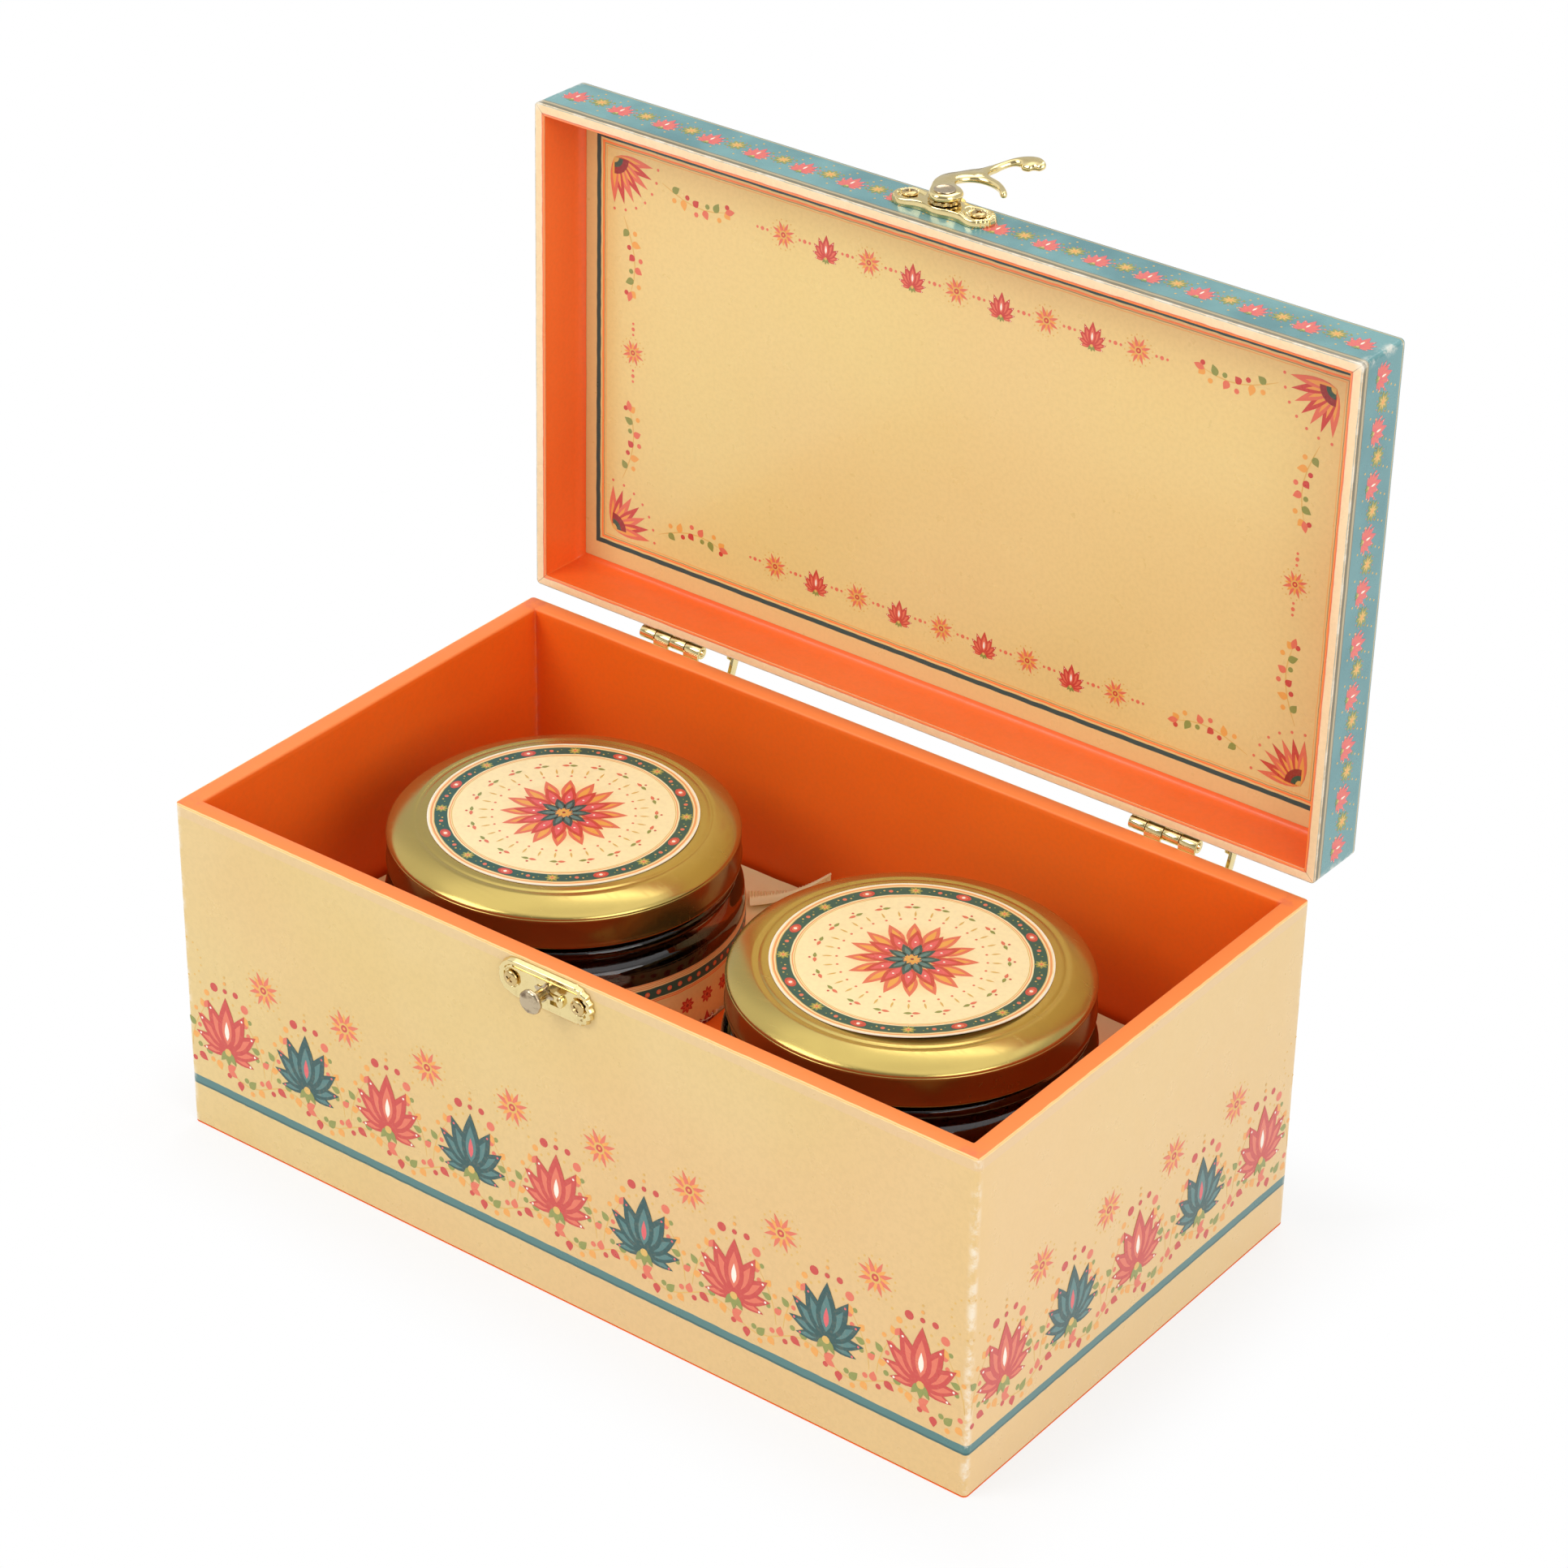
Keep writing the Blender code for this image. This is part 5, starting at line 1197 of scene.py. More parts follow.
def catchHeight(x, y, inset):
    # A thick rolled rim along the top and round the right end; elsewhere a thin dished plate
    thick = max(ease(y, -0.6, 2.2), ease(x, 9.0, 11.5), 0.5 * ease(-x, 10.5, 12.5))
    roll = 0.35 + 1.15 * math.sin(math.pi / 2 * min(inset / 0.6, 1.0)) - 0.5 * ease(inset, 1.2, 1.75)
    plain = 0.35 + 0.6 * math.sin(math.pi / 2 * min(inset / 1.1, 1.0))
    z = plain + (roll - plain) * thick
    # A round dimple on the left, and a countersink at each screw
    z -= 0.22 * ease(math.hypot(x + 4.6, y - 0.9), 2.7, 1.4)
    z -= 0.3 * ease(math.hypot(abs(x) - fittings["screws"] / 2, y), 2.5, 2.25)
    return z + 0.03 * noise.noise(Vector((x * 0.8, y * 0.8, 1.0)))


def block(low, high):
    corners = ((low[0], low[1]), (high[0], low[1]), (high[0], high[1]), (low[0], high[1]))
    return loft([[(x, y, z) for x, y in corners] for z in (low[2], high[2])])


def makeLatch():
    bore = plates["bore"]
    form = reliefForm(lobedOutline(), relief["latchSpine"], latchHeight)
    piece = objectFrom("latch_saddle", form, latchPlace, materials["brass"])
    carve(piece, [turned([(bore, -1.0), (bore, 4.0)], 32)], latchPlace)
    settle(piece, "lid", ["latch_plate"], angle=45)

    def notched(angle):
        return 3.9 * (1 - 0.09 * (0.5 - 0.5 * math.cos(12 * angle)) ** 0.7)

    washer = [(bore, 2.4), (3.2, 2.4), (notched, 2.55), (notched, 3.2), (3.5, 3.36), (2.6, 3.42)]
    washer += [(bore, 3.42)]
    form = turned(washer, 144, True)
    show("latch_toothed_washer", form, "wornBrass", "lid", ["latch_washer"], latchPlace, 40)
    rivet = [(0.5, 0.1), (1.6, 0.1), (1.6, 5.25), (2.5, 5.25), (2.62, 5.3), (2.66, 5.4), (2.6, 5.52)]
    rivet += [(2.45, 5.56), (2.25, 5.52), (2.05, 5.4), (1.5, 5.32), (0.7, 5.3)]
    show("latch_dished_rivet", turned(rivet, 48), "rivet", "lid", ["latch_rivet"], latchPlace, 40)

    def lift(x, y):
        return hook["lift"] * max(math.hypot(x, y) - hook["liftFrom"], 0.0)

    outline = smoothOutline(list(reversed(hookDrawn)), 6)
    seat, thick = hook["seat"], hook["thickness"]
    levels = [(0.45, 0.0), (0.3, 0.03), (0.14, 0.12), (0.03, 0.26), (0.0, 0.42), (0.03, 0.58), (0.12, 0.73)]
    levels += [(0.25, 0.86), (0.38, 0.95), (0.5, 1.0)]
    form = stacked(outline, [(inset, seat + thick * share) for inset, share in levels], lift)
    piece = objectFrom("latch_forked_hook", form, latchPlace, materials["brass"])
    carve(piece, [turned([(hook["eye"], 1.0), (hook["eye"], 7.0)], 32)], latchPlace)
    settle(piece, "hook", ["latch_hook"], angle=50)


def makeCatch():
    form = reliefForm(roundEndOutline(), relief["catchSpine"], catchHeight)
    plate = objectFrom("plate", form, catchPlace, materials["brass"])
    groove = block((-9.6, 3.05, 0.62), (9.4, 3.5, 3.0))
    pocket = block((1.45, -2.6, 0.3), (4.1, 0.7, 3.0))
    carve(plate, [groove, pocket], catchPlace)
    dome = turned([(1.0, 0.3), (1.0, 1.5), (0.9, 1.8), (0.7, 2.0), (0.4, 2.1)], 28)
    bumpPlace = catchPlace @ Matrix.Translation((4.9 * mm, -0.5 * mm, 0)) @ Matrix.Scale(1.5, 4, (0, 1, 0))
    bump = objectFrom("bump", dome, bumpPlace, materials["brass"])
    settle(joinAll("catch_rolled_plate", [plate, bump]), "box", ["catch_plate"], angle=40)

    def starred(angle):
        return 1.6 + 1.3 * abs(math.cos(2 * angle + 0.5)) ** 4

    def beaten(radius):
        return lambda angle: radius * (1 + 0.018 * math.cos(7 * angle) + 0.012 * math.cos(11 * angle + 1))

    head = [(2.5, 5.36), (2.9, 5.46), (3.05, 5.7), (3.05, 6.05), (2.9, 6.4), (2.6, 6.62), (2.1, 6.74)]
    head += [(1.2, 6.78), (0.5, 6.76)]
    stud = [(1.1, 0.1), (1.12, 1.1), (starred, 1.12), (starred, 1.3), (1.42, 1.42), (1.4, 5.36)]
    form = turned(stud + [(beaten(radius), z) for radius, z in head], 72)
    show("catch_mushroom_stud", form, "rivet", "box", ["catch_stud"], catchPlace, 40)


# CAD metalwork whose shape is right, with its edges eased: a merged copy stands for each node
polish = {"bevel": 0.12, "angle": 30.0}


def polished(node, name, body):
    form = bmesh.new()
    form.from_mesh(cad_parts[node].data)
    bmesh.ops.remove_doubles(form, verts=form.verts, dist=1e-6)
    bmesh.ops.dissolve_limit(form, angle_limit=math.radians(0.5), verts=form.verts, edges=form.edges)
    mesh = bpy.data.meshes.new(name)
    form.to_mesh(mesh)
    form.free()
    mesh.materials.append(materials["brass"])
    piece = newObject(name, mesh)
    rounding = piece.modifiers.new("easedEdge", "BEVEL")
    rounding.width = polish["bevel"] * mm
    rounding.segments = 2
    rounding.limit_method = "ANGLE"
    rounding.angle_limit = math.radians(polish["angle"])
    settle(flatten(piece), body, [node])


# Geometry Nodes trees
def geometryTree(name, takes):
    tree = bpy.data.node_groups.new(name, "GeometryNodeTree")
    tree.interface.new_socket("Geometry", in_out="INPUT", socket_type="NodeSocketGeometry")
    for label, kind in takes.items():
        tree.interface.new_socket(label, in_out="INPUT", socket_type=f"NodeSocket{kind}")
    tree.interface.new_socket("Geometry", in_out="OUTPUT", socket_type="NodeSocketGeometry")
    start = tree.nodes.new("NodeGroupInput").outputs
    end = tree.nodes.new("NodeGroupOutput").inputs
    return tree, start, end


def finishTree(tree, start, end, geometry):
    real = get(tree, "GeometryNodeRealizeInstances", {0: geometry})
    clad = get(tree, "GeometryNodeSetMaterial", {"Geometry": real, "Material": start["Material"]})
    tree.links.new(clad, end["Geometry"])
    return tree


def growFrom(tree, name, values, points=None):
    # Runs a tree on its own object and keeps the result as a plain mesh
    mesh = bpy.data.meshes.new(name)
    if points:
        mesh.from_pydata([Vector(p) * mm for p in points], [], [])
    made = newObject(name, mesh)
    grow = made.modifiers.new(tree.name, "NODES")
    grow.node_group = tree
    for label, value in values.items():
        grow[tree.interface.items_tree[label].identifier] = value
    bpy.context.view_layer.update()
    return flatten(made)


def item(tree, source):
    return put(tree, "GeometryNodeObjectInfo", {"Object": source, "As Instance": True}).outputs["Geometry"]


def randomNumber(tree, low, high, seed):
    values = {2: low, 3: high, "Seed": seed}
    return put(tree, "FunctionNodeRandomValue", values, data_type="FLOAT").outputs[1]


def about(tree, axis, angle):
    return get(tree, "ShaderNodeCombineXYZ", {axis: angle})


def turnedBy(tree, aim, angle):
    # A rotation with a further turn about its own Z
    values = {"Rotation": aim, "Rotate By": about(tree, 2, angle)}
    return get(tree, "FunctionNodeRotateRotation", values, rotation_space="LOCAL")


def rowTree():
    # Two motifs by turns along X
    takes = {"Motif A": "Object", "Motif B": "Object", "Count": "Int", "Pitch": "Float", "Start": "Float"}
    tree, start, end = geometryTree("printedRow", takes | {"Material": "Material"})
    offset, first = about(tree, 0, start["Pitch"]), about(tree, 0, start["Start"])
    values = {"Count": start["Count"], "Start Location": first, "Offset": offset}
    points = get(tree, "GeometryNodeMeshLine", values, mode="OFFSET")
    index = get(tree, "GeometryNodeInputIndex")
    odd = calc(tree, "MODULO", index, 2.0)
    even = minus(tree, 1.0, odd)
    both = []
    for motif, pick in (("Motif A", even), ("Motif B", odd)):
        values = {"Points": points, "Selection": pick, "Instance": item(tree, start[motif])}
        both.append(get(tree, "GeometryNodeInstanceOnPoints", values))
    joined = put(tree, "GeometryNodeJoinGeometry")
    for geometry in both:
        tree.links.new(geometry, joined.inputs[0])
    return finishTree(tree, start, end, joined.outputs[0])


def ringTree():
    # One motif round a circle, its Y pointing outwards, with a seeded wander in turn and size
    takes = {"Motif": "Object", "Count": "Int", "Radius": "Float", "Turn": "Float", "Wander": "Float"}
    takes |= {"Smallest": "Float", "Largest": "Float", "Seed": "Int", "Material": "Material"}
    tree, start, end = geometryTree("printedRing", takes)
    values = {"Vertices": start["Count"], "Radius": start["Radius"]}
    hoop = get(tree, "GeometryNodeMeshCircle", values)
    values = {"Geometry": hoop, "Rotation": about(tree, 2, start["Turn"])}
    points = get(tree, "GeometryNodeTransform", values)
    place = get(tree, "GeometryNodeInputPosition")
    aim = put(tree, "FunctionNodeAlignRotationToVector", {"Vector": place}, axis="Y", pivot_axis="Z")
    swing = randomNumber(tree, times(tree, start["Wander"], -1.0), start["Wander"], start["Seed"])
    size = randomNumber(tree, start["Smallest"], start["Largest"], start["Seed"])
    values = {"Points": points, "Instance": item(tree, start["Motif"])}
    values |= {"Rotation": turnedBy(tree, aim.outputs[0], swing), "Scale": size}
    instances = get(tree, "GeometryNodeInstanceOnPoints", values)
    return finishTree(tree, start, end, instances)


def screwTree():
    # A screw at each point, its slots turned at random about its own axis
    takes = {"Screw": "Object", "Tilt": "Float", "Seed": "Int", "Material": "Material"}
    tree, start, end = geometryTree("screwSet", takes)
    aim = get(tree, "FunctionNodeEulerToRotation", {0: about(tree, 0, start["Tilt"])})
    spun = turnedBy(tree, aim, randomNumber(tree, 0.0, 1.5, start["Seed"]))
    values = {"Points": start["Geometry"], "Instance": item(tree, start["Screw"]), "Rotation": spun}
    instances = get(tree, "GeometryNodeInstanceOnPoints", values)
    return finishTree(tree, start, end, instances)


printedRow = rowTree()
printedRing = ringTree()
screwSet = screwTree()


def growRing(name, one, count, radius, turn, material, sizes):
    values = {"Motif": one, "Count": count, "Radius": radius * mm, "Turn": math.radians(turn)}
    return growFrom(printedRing, name, values | sizes | {"Material": materials[material]})


# Screws: pan heads with a cross recess
screws = {
    "head": 1.95, "rise": 0.85, "shank": 0.75, "length": 3.2, "slot": 0.46, "slotReach": 1.2,
    "slotDepth": 0.55, "slotFoot": 0.55, "hingeSpots": (-5.9, 10.5), "hingeZ": 10.4, "hingeSeat": 0.8,
    "latchSeat": 1.7, "catchSeat": 1.1,
}


def slotForm(turn):
    half, reach = screws["slot"] / 2, screws["slotReach"]
    cos, sin = math.cos(turn), math.sin(turn)
    rings = []
    deep, above = screws["rise"] - screws["slotDepth"], screws["rise"] + 0.4
    for shrink, z in ((screws["slotFoot"], deep), (1.0, above)):
        far = reach * shrink
        corners = ((-far, -half), (far, -half), (far, half), (-far, half))
        rings.append([(x * cos - y * sin, x * sin + y * cos, z) for x, y in corners])
    return loft(rings)


def screwItem():
    head, rise, shank, length = screws["head"], screws["rise"], screws["shank"], screws["length"]
    profile = [(0.2, -length), (shank, 0.8 - length), (shank, 0.0), (head - 0.1, 0.0), (head, 0.12)]
    profile += [(head, 0.3), (head * 0.95, 0.47), (head * 0.84, 0.63), (head * 0.66, 0.76)]
    profile += [(head * 0.45, 0.83), (head * 0.2, rise)]
    made = objectFrom("screwItem", turned(profile, 28))
    carve(made, [slotForm(0.0), slotForm(math.pi / 2)])
    soften(made, 38)
    return made


def makeScrews():
    seat, axisY, axisZ = screws["hingeSeat"] - hinges["proud"], hinges["axisY"], hinges["axisZ"]
    across = [centre + x for centre in hinges["centres"] for x in screws["hingeSpots"]]
    boxPoints = [(x, axisY + seat, axisZ - screws["hingeZ"]) for x in across]
    lidPoints = [(x, seat, screws["hingeZ"]) for x in across]
    half = fittings["screws"] / 2
    latchPoints = [latchAt + Vector((side * half, -screws["latchSeat"], 0)) for side in (-1, 1)]
    catchPoints = [catchAt + Vector((side * half, -screws["catchSeat"], 0)) for side in (-1, 1)]
    sets = [
        ("hinge_box_screws", "box", boxPoints, -90, ["hinge_left_box_screw", "hinge_right_box_screw"]),
        ("hinge_lid_screws", "lid", lidPoints, -90, ["hinge_left_lid_screw", "hinge_right_lid_screw"]),
        ("latch_screws", "lid", latchPoints, 90, ["latch_screw"]),
        ("catch_screws", "box", catchPoints, 90, ["catch_screw"]),
    ]
    screw = screwItem()
    for seed, (name, body, points, tilt, stems) in enumerate(sets, start=3):
        values = {"Screw": screw, "Tilt": math.radians(tilt), "Seed": seed}
        values["Material"] = materials["screwBrass"]
        piece = growFrom(screwSet, name, values, points)
        if body == "lid":
            piece.data.transform(lidPlace)
        settle(piece, body, [f"{stem}_{number}" for stem in stems for number in (1, 2)], angle=38)
    discard(screw)
    print("screws made")


# Frayed threads where the satin was cut round each jar
fray = {
    "count": 150, "radius": 45.3, "length": 3.4, "thread": 0.09, "bow": 0.5, "lift": 0.25, "above": 0.45,
    "seed": 20, "sizes": {"Wander": 0.5, "Smallest": 0.6, "Largest": 1.25},
}


def makeFray():
    rings = []
    for share in ramped(0.0, 1.0, 4):
        x, y = fray["length"] * (share - 0.5), fray["bow"] * (math.sin(math.pi * share) - 0.5)
        z = fray["lift"] * share * share
        rings.append([(x, y + across, z + up) for across, up in circle(fray["thread"], 4)])
    strand = objectFrom("strand", loft(rings))
    for number in (1, 2):
        sizes = fray["sizes"] | {"Seed": fray["seed"] + number}
        name, count, radius = f"satin_fray_{number}", fray["count"], fray["radius"]
        piece = growRing(name, strand, count, radius, 0.0, "thread", sizes)
        piece.data.transform(jarPlace(number, satin["z"] + fray["above"] - jars["seatZ"]))
        settle(piece, "box", angle=60)
    discard(strand)
    print("fray made")


# Printed marks: thin solids in layers, each with its own ink colour
press = {"base": 0.012, "layer": 0.004}


def around(bearing, radius):
    # The point at a radius, its bearing in degrees from straight up
    angle = math.radians(bearing)
    return radius * math.sin(angle), radius * math.cos(angle)


def leaf(x, y, bearing, length, width, steps=6, fullness=0.8):
    # A pointed leaf from (x, y) along its bearing
    foot, ahead, beside = Vector((x, y)), Vector(around(bearing, 1.0)), Vector(around(bearing + 90, 1.0))
    right, left = [], []
    for step in range(1, steps):
        share = step / steps
        half = beside * width / 2 * math.sin(math.pi * share**fullness)
        right.append(foot + ahead * length * share + half)
        left.append(foot + ahead * length * share - half)
    return [foot, *right, foot + ahead * length, *reversed(left)]


def dot(x, y, radius, sides=9, stretch=1.0):
    return [Vector((x + across, y + up * stretch)) for across, up in circle(radius, sides)]


def stroke(points, width):
    path = [Vector(p) for p in points]
    left, right = [], []
    for i, point in enumerate(path):
        heading = (path[min(i + 1, len(path) - 1)] - path[max(i - 1, 0)]).normalized()
        side = Vector((-heading.y, heading.x)) * width / 2 * (1 if 0 < i < len(path) - 1 else 0.4)
        left.append(point + side)
        right.append(point - side)
    return left + list(reversed(right))


def motif(name, marks):
    form = bmesh.new()
    layer = form.loops.layers.float_color.new("ink")
    spans = []
    for outline, colour in marks:
        # A mark lies one layer above the highest mark its own span crosses
        lowX, highX = min(p.x for p in outline), max(p.x for p in outline)
        lowY, highY = min(p.y for p in outline), max(p.y for p in outline)
        level = 1
        for left, right, foot, head, beneath in spans:
            if left < highX and lowX < right and foot < highY and lowY < head:
                level = max(level, beneath + 1)
        spans.append((lowX, highX, lowY, highY, level))
        turn = sum(a.x * b.y - b.x * a.y for a, b in zip(outline, outline[1:] + outline[:1]))
        points = outline if turn > 0 else list(reversed(outline))
        top = press["base"] + press["layer"] * (level + 1)
        upper = [form.verts.new((p.x, p.y, top)) for p in points]
        lower = [form.verts.new((p.x, p.y, press["base"])) for p in points]
        faces = [form.faces.new(upper), form.faces.new(list(reversed(lower))), *bridge(form, lower, upper)]
        for face in faces:
            for loop in face.loops:
                loop[layer] = inks[colour]
    return objectFrom(name, form)


def lotusMarks(size, outer, inner, spot, sepal="leafGreen"):
    marks = []
    for bearing, length, width in ((100, 0.4, 0.13), (76, 0.5, 0.17), (50, 0.58, 0.21), (25, 0.66, 0.24)):
        for side in (-bearing, bearing):
            marks.append((leaf(0, 0, side, size * length, size * width), outer))
            heart = leaf(*around(side, size * 0.1), side, size * length * 0.62, size * width * 0.5)
            marks.append((heart, inner))
            marks.append((dot(*around(side, size * length * 0.86), size * 0.016, 6), spot))
    marks.append((leaf(0, 0, 0, size * 0.74, size * 0.27, 7), outer))
    marks.append((leaf(0, size * 0.1, 0, size * 0.48, size * 0.15), inner))
    marks.append((leaf(0, size * 0.16, 0, size * 0.26, size * 0.07, 5), spot))
    for bearing in (-145, 145, 180):
        marks.append((leaf(0, size * 0.02, bearing, size * 0.2, size * 0.09, 5), sepal))
    marks.append((dot(0, 0, size * 0.05), "gold"))
    return marks


def rosetteMarks(size, petals, outer, inner, heart, beads=True):
    bearings = [360 / petals * i for i in range(petals)]
    marks = [(leaf(0, 0, bearing, size * 0.42, size * 0.19, 5, 1.2), outer) for bearing in bearings]
    for bearing in bearings:
        marks.append((leaf(0, 0, bearing, size * 0.27, size * 0.09, 5, 1.1), inner))
        if beads:
            marks.append((dot(*around(bearing + 180 / petals, size * 0.42), size * 0.03, 6), "coral"))
    marks.append((dot(0, 0, size * 0.085), heart))
    return marks


def starMarks(size):
    # Fine petals round a heart, with beads beyond them
    marks = []
    for i in range(16):
        length, tint = ((0.34, "amber"), (0.42, "coral"))[i % 2]
        marks.append((leaf(0, 0, 22.5 * i, size * length, size * 0.1, 5), tint))
        marks.append((dot(*around(22.5 * i + 11.25, size * 0.46), size * 0.026, 6), "gold"))
    for radius, sides, tint in ((0.13, 12, "gold"), (0.085, 10, "red"), (0.035, 8, "amber")):
        marks.append((dot(0, 0, size * radius, sides), tint))
    return marks


def vineMarks(path, size=1.0, tints=("coral", "amber", "leafGreen"), stem="gold"):
    # A stem with leaves on one side and berries on the other, by turns
    marks = [(stroke(path, 0.2 * size), stem)]
    for step, (before, (x, y)) in enumerate(zip(path, path[1:]), start=1):
        bearing = math.degrees(math.atan2(x - before[0], y - before[1]))
        turn = 58 if step % 2 else -58
        reach = (1.6 + 0.25 * ((step * 7) % 3)) * size
        marks.append((leaf(x, y, bearing + turn, reach, 1.4 * size, 8, 0.72), tints[step % len(tints)]))
        east, north = around(bearing - turn * 0.9, (1.15 + 0.45 * (step % 2)) * size)
        marks.append((dot(x + east, y + north, 0.5 * size, 8), tints[(step + 1) % len(tints)]))
    marks.append((leaf(x, y, bearing, 2.2 * size, 1.2 * size, 6, 0.9), tints[0]))
    return marks


def curling(x, y, width, height, bend, steps=8):
    # Points of a stem from (x, y) that leans over as it rises
    return [(x + width * share**bend, y + height * share) for share in ramped(0.0, 1.0, steps)]


def moved(marks, x, y, scale=1.0, turn=0.0):
    spin = Matrix.Rotation(math.radians(turn), 2)
    return [([Vector((x, y)) + spin @ p * scale for p in outline], colour) for outline, colour in marks]


def facing(origin, right, up):
    right, up = Vector(right), Vector(up)
    turn = Matrix((right, up, right.cross(up))).transposed().to_4x4()
    return Matrix.Translation(Vector(origin) * mm) @ turn


def placed(made, place):
    made.data.transform(place)
    return made


def printRow(first, second, count, pitch, place, start=None):
    # Two motifs by turns along X, about the middle unless a start is given
    start = -pitch * (count - 1) / 2 if start is None else start
    values = {"Motif A": first, "Motif B": second, "Count": count, "Pitch": pitch * mm, "Start": start * mm}
    return placed(growFrom(printedRow, "row", values | {"Material": materials["ink"]}), place)


def printRing(one, count, radius, turn, place):
    sizes = {"Wander": 0.0, "Smallest": 1.0, "Largest": 1.0, "Seed": 1}
    return placed(growRing("ring", one, count, radius, turn, "ink", sizes), place)


def printOne(marks, place):
    made = motif("mark", marks)
    made.data.materials.append(materials["ink"])
    return placed(made, place)


def finishPrint(name, parts, body, motifs):
    discard(*motifs)
    piece = joinAll(name, parts)
    settle(piece, body, angle=None)
    print(name, "made, faces", len(piece.data.polygons))


def fourSides(size, middleY, counts, ends=0.0):
    # The place, count and pitch of a row of motifs on the front, back, right and left
    halfX, halfY = size["halfX"], size["halfY"]
    for origin, right, count, half in (
        ((0, middleY - halfY, 0), (1, 0, 0), counts[0], halfX),
        ((0, middleY + halfY, 0), (-1, 0, 0), counts[0], halfX),
        ((halfX, middleY, 0), (0, 1, 0), counts[1], halfY),
        ((-halfX, middleY, 0), (0, -1, 0), counts[1], halfY),
    ):
        yield facing(origin, right, (0, 0, 1)), count, (2 * half - ends) / count


wallBand = {
    "foot": 25.6, "flower": 21.5, "star": 49.0, "above": 0.05, "counts": (9, 5),
    "topDots": [(0, 43.4, 0.7, 9, "red"), (0, 45.6, 0.5, 8, "amber"), (0, 47.4, 0.36, 8, "gold")],
    "bayDots": [
        (-6.8, 40.6, 1.25, 11, "coral"), (-9.6, 43.6, 0.9, 11, "red"), (6.8, 40.6, 0.9, 11, "amber"),
        (9.4, 43.2, 1.25, 11, "red"), (-8.6, 39.0, 0.4, 7, "gold"), (-4.8, 42.6, 0.4, 7, "gold"),
        (8.6, 39.4, 0.4, 7, "gold"), (4.8, 42.8, 0.4, 7, "gold"), (-10.6, 40.4, 0.4, 7, "gold"),
        (10.8, 40.6, 0.4, 7, "gold"),
    ],
}


def dotMarks(rows):
    return [(dot(*where), tint) for *where, tint in rows]


def bayMarks(pitch):
    # Between two flowers: a wavy running vine, two rising stems, and a star over them
    reach = pitch / 2 - 0.4
    low = [(x, 20.3 + 2.3 * math.sin(2 * math.pi * x / pitch)) for x in ramped(-reach, reach, 8)]
    marks = vineMarks(low, 1.55, ("coral", "red", "leafGreen", "amber"))
    for side, tints in ((1, ("coral", "amber", "leafGreen")), (-1, ("amber", "coral", "leafGreen"))):
        marks += vineMarks(curling(side, 23.0, side * 4.8, 13.0, 1.8, 4), 1.35, tints)
    return marks + moved(starMarks(12.0), 0, wallBand["star"]) + dotMarks(wallBand["bayDots"])


def cutToCorner(marks, edge, side):
    # Only the marks that lie clear inside the wall's edge
    kept = []
    for outline, colour in marks:
        middle = sum(p.x for p in outline) / len(outline)
        if side * (edge - middle) > 0.9 and all(side * (edge - p.x) > 0.4 for p in outline):
            kept.append((outline, colour))
    return kept


def makeWallPrint():
    size, foot = wallBand["flower"], wallBand["foot"]
    extra = dotMarks(wallBand["topDots"])
    red = motif("redLotus", moved(lotusMarks(size, "red", "coral", "white"), 0, foot) + extra)
    teal = motif("tealLotus", moved(lotusMarks(size, "deepTeal", "teal", "rose"), 0, foot) + extra)
    parts = []
    for place, count, pitch in fourSides(box, 0, wallBand["counts"]):
        marks = bayMarks(pitch)
        bay = motif("bay", marks)
        above = place @ Matrix.Translation((0, 0, wallBand["above"] * mm))
        parts.append(printRow(red, teal, count, pitch, above))
        parts.append(printRow(bay, bay, count - 1, pitch, place))
        discard(bay)
        # Half a bay at each end of the wall, so the pattern runs to the corners
        for side in (-1, 1):
            edge = side * pitch * count / 2
            parts.append(printOne(cutToCorner(moved(marks, edge, 0), edge, side), place))
    finishPrint("wall_print", parts, "box", [red, teal])


def fanMarks(reach):
    # Corner ornament: a quarter rosette with a pointed heart and two sprigs running along the frame
    corner = Vector((0.6, 0.6))
    marks = []
    for i in range(7):
        bearing = 15 * i
        marks.append((leaf(*corner, bearing, reach * 0.62, reach * 0.13, 6), "red" if i % 2 else "coral"))
        marks.append((leaf(*corner, bearing, reach * 0.42, reach * 0.07, 5), "amber"))
        marks.append((dot(*(corner + Vector(around(bearing, reach * 0.7))), 0.42, 7), "coral"))
    for radius, steps, tint in ((4.4, 8, "deepRed"), (2.7, 8, "darkGreen"), (1.4, 6, "gold")):
        quarter = [corner + Vector(around(90 - bearing, radius)) for bearing in ramped(0, 90, steps)]
        marks.append(([corner, *quarter], tint))
    path = [(reach * (0.8 + share), 3.6 + 3.6 * math.sin(2.4 * share)) for share in ramped(0.0, 1.0, 6)]
    along = vineMarks(path, reach / 14, ("coral", "leafGreen", "amber", "red"))
    return marks + along + [([p.yx for p in outline], colour) for outline, colour in along]


def printFans(halfX, halfY, reach, inset, place):
    parts = []
    for x, y, turn in ((-halfX, -halfY, 0), (halfX, -halfY, 90), (halfX, halfY, 180), (-halfX, halfY, 270)):
        x, y = x - math.copysign(inset, x), y - math.copysign(inset, y)
        parts.append(printOne(moved(fanMarks(reach), x, y, 1.0, turn), place))
    return parts


cardBorder = {
    "halfX": 105.0, "halfY": 52.4, "reach": 19.5, "inset": 0.8, "gap": 7.6, "pitch": 12.8, "z": 13.35,
    "flower": 8.2, "star": 8.4, "drop": 2.6,
    "beads": [(-1.5, 0, 0.38, 8, "coral"), (0, 0, 0.55, 8, "coral"), (1.5, 0, 0.38, 8, "coral")],
}


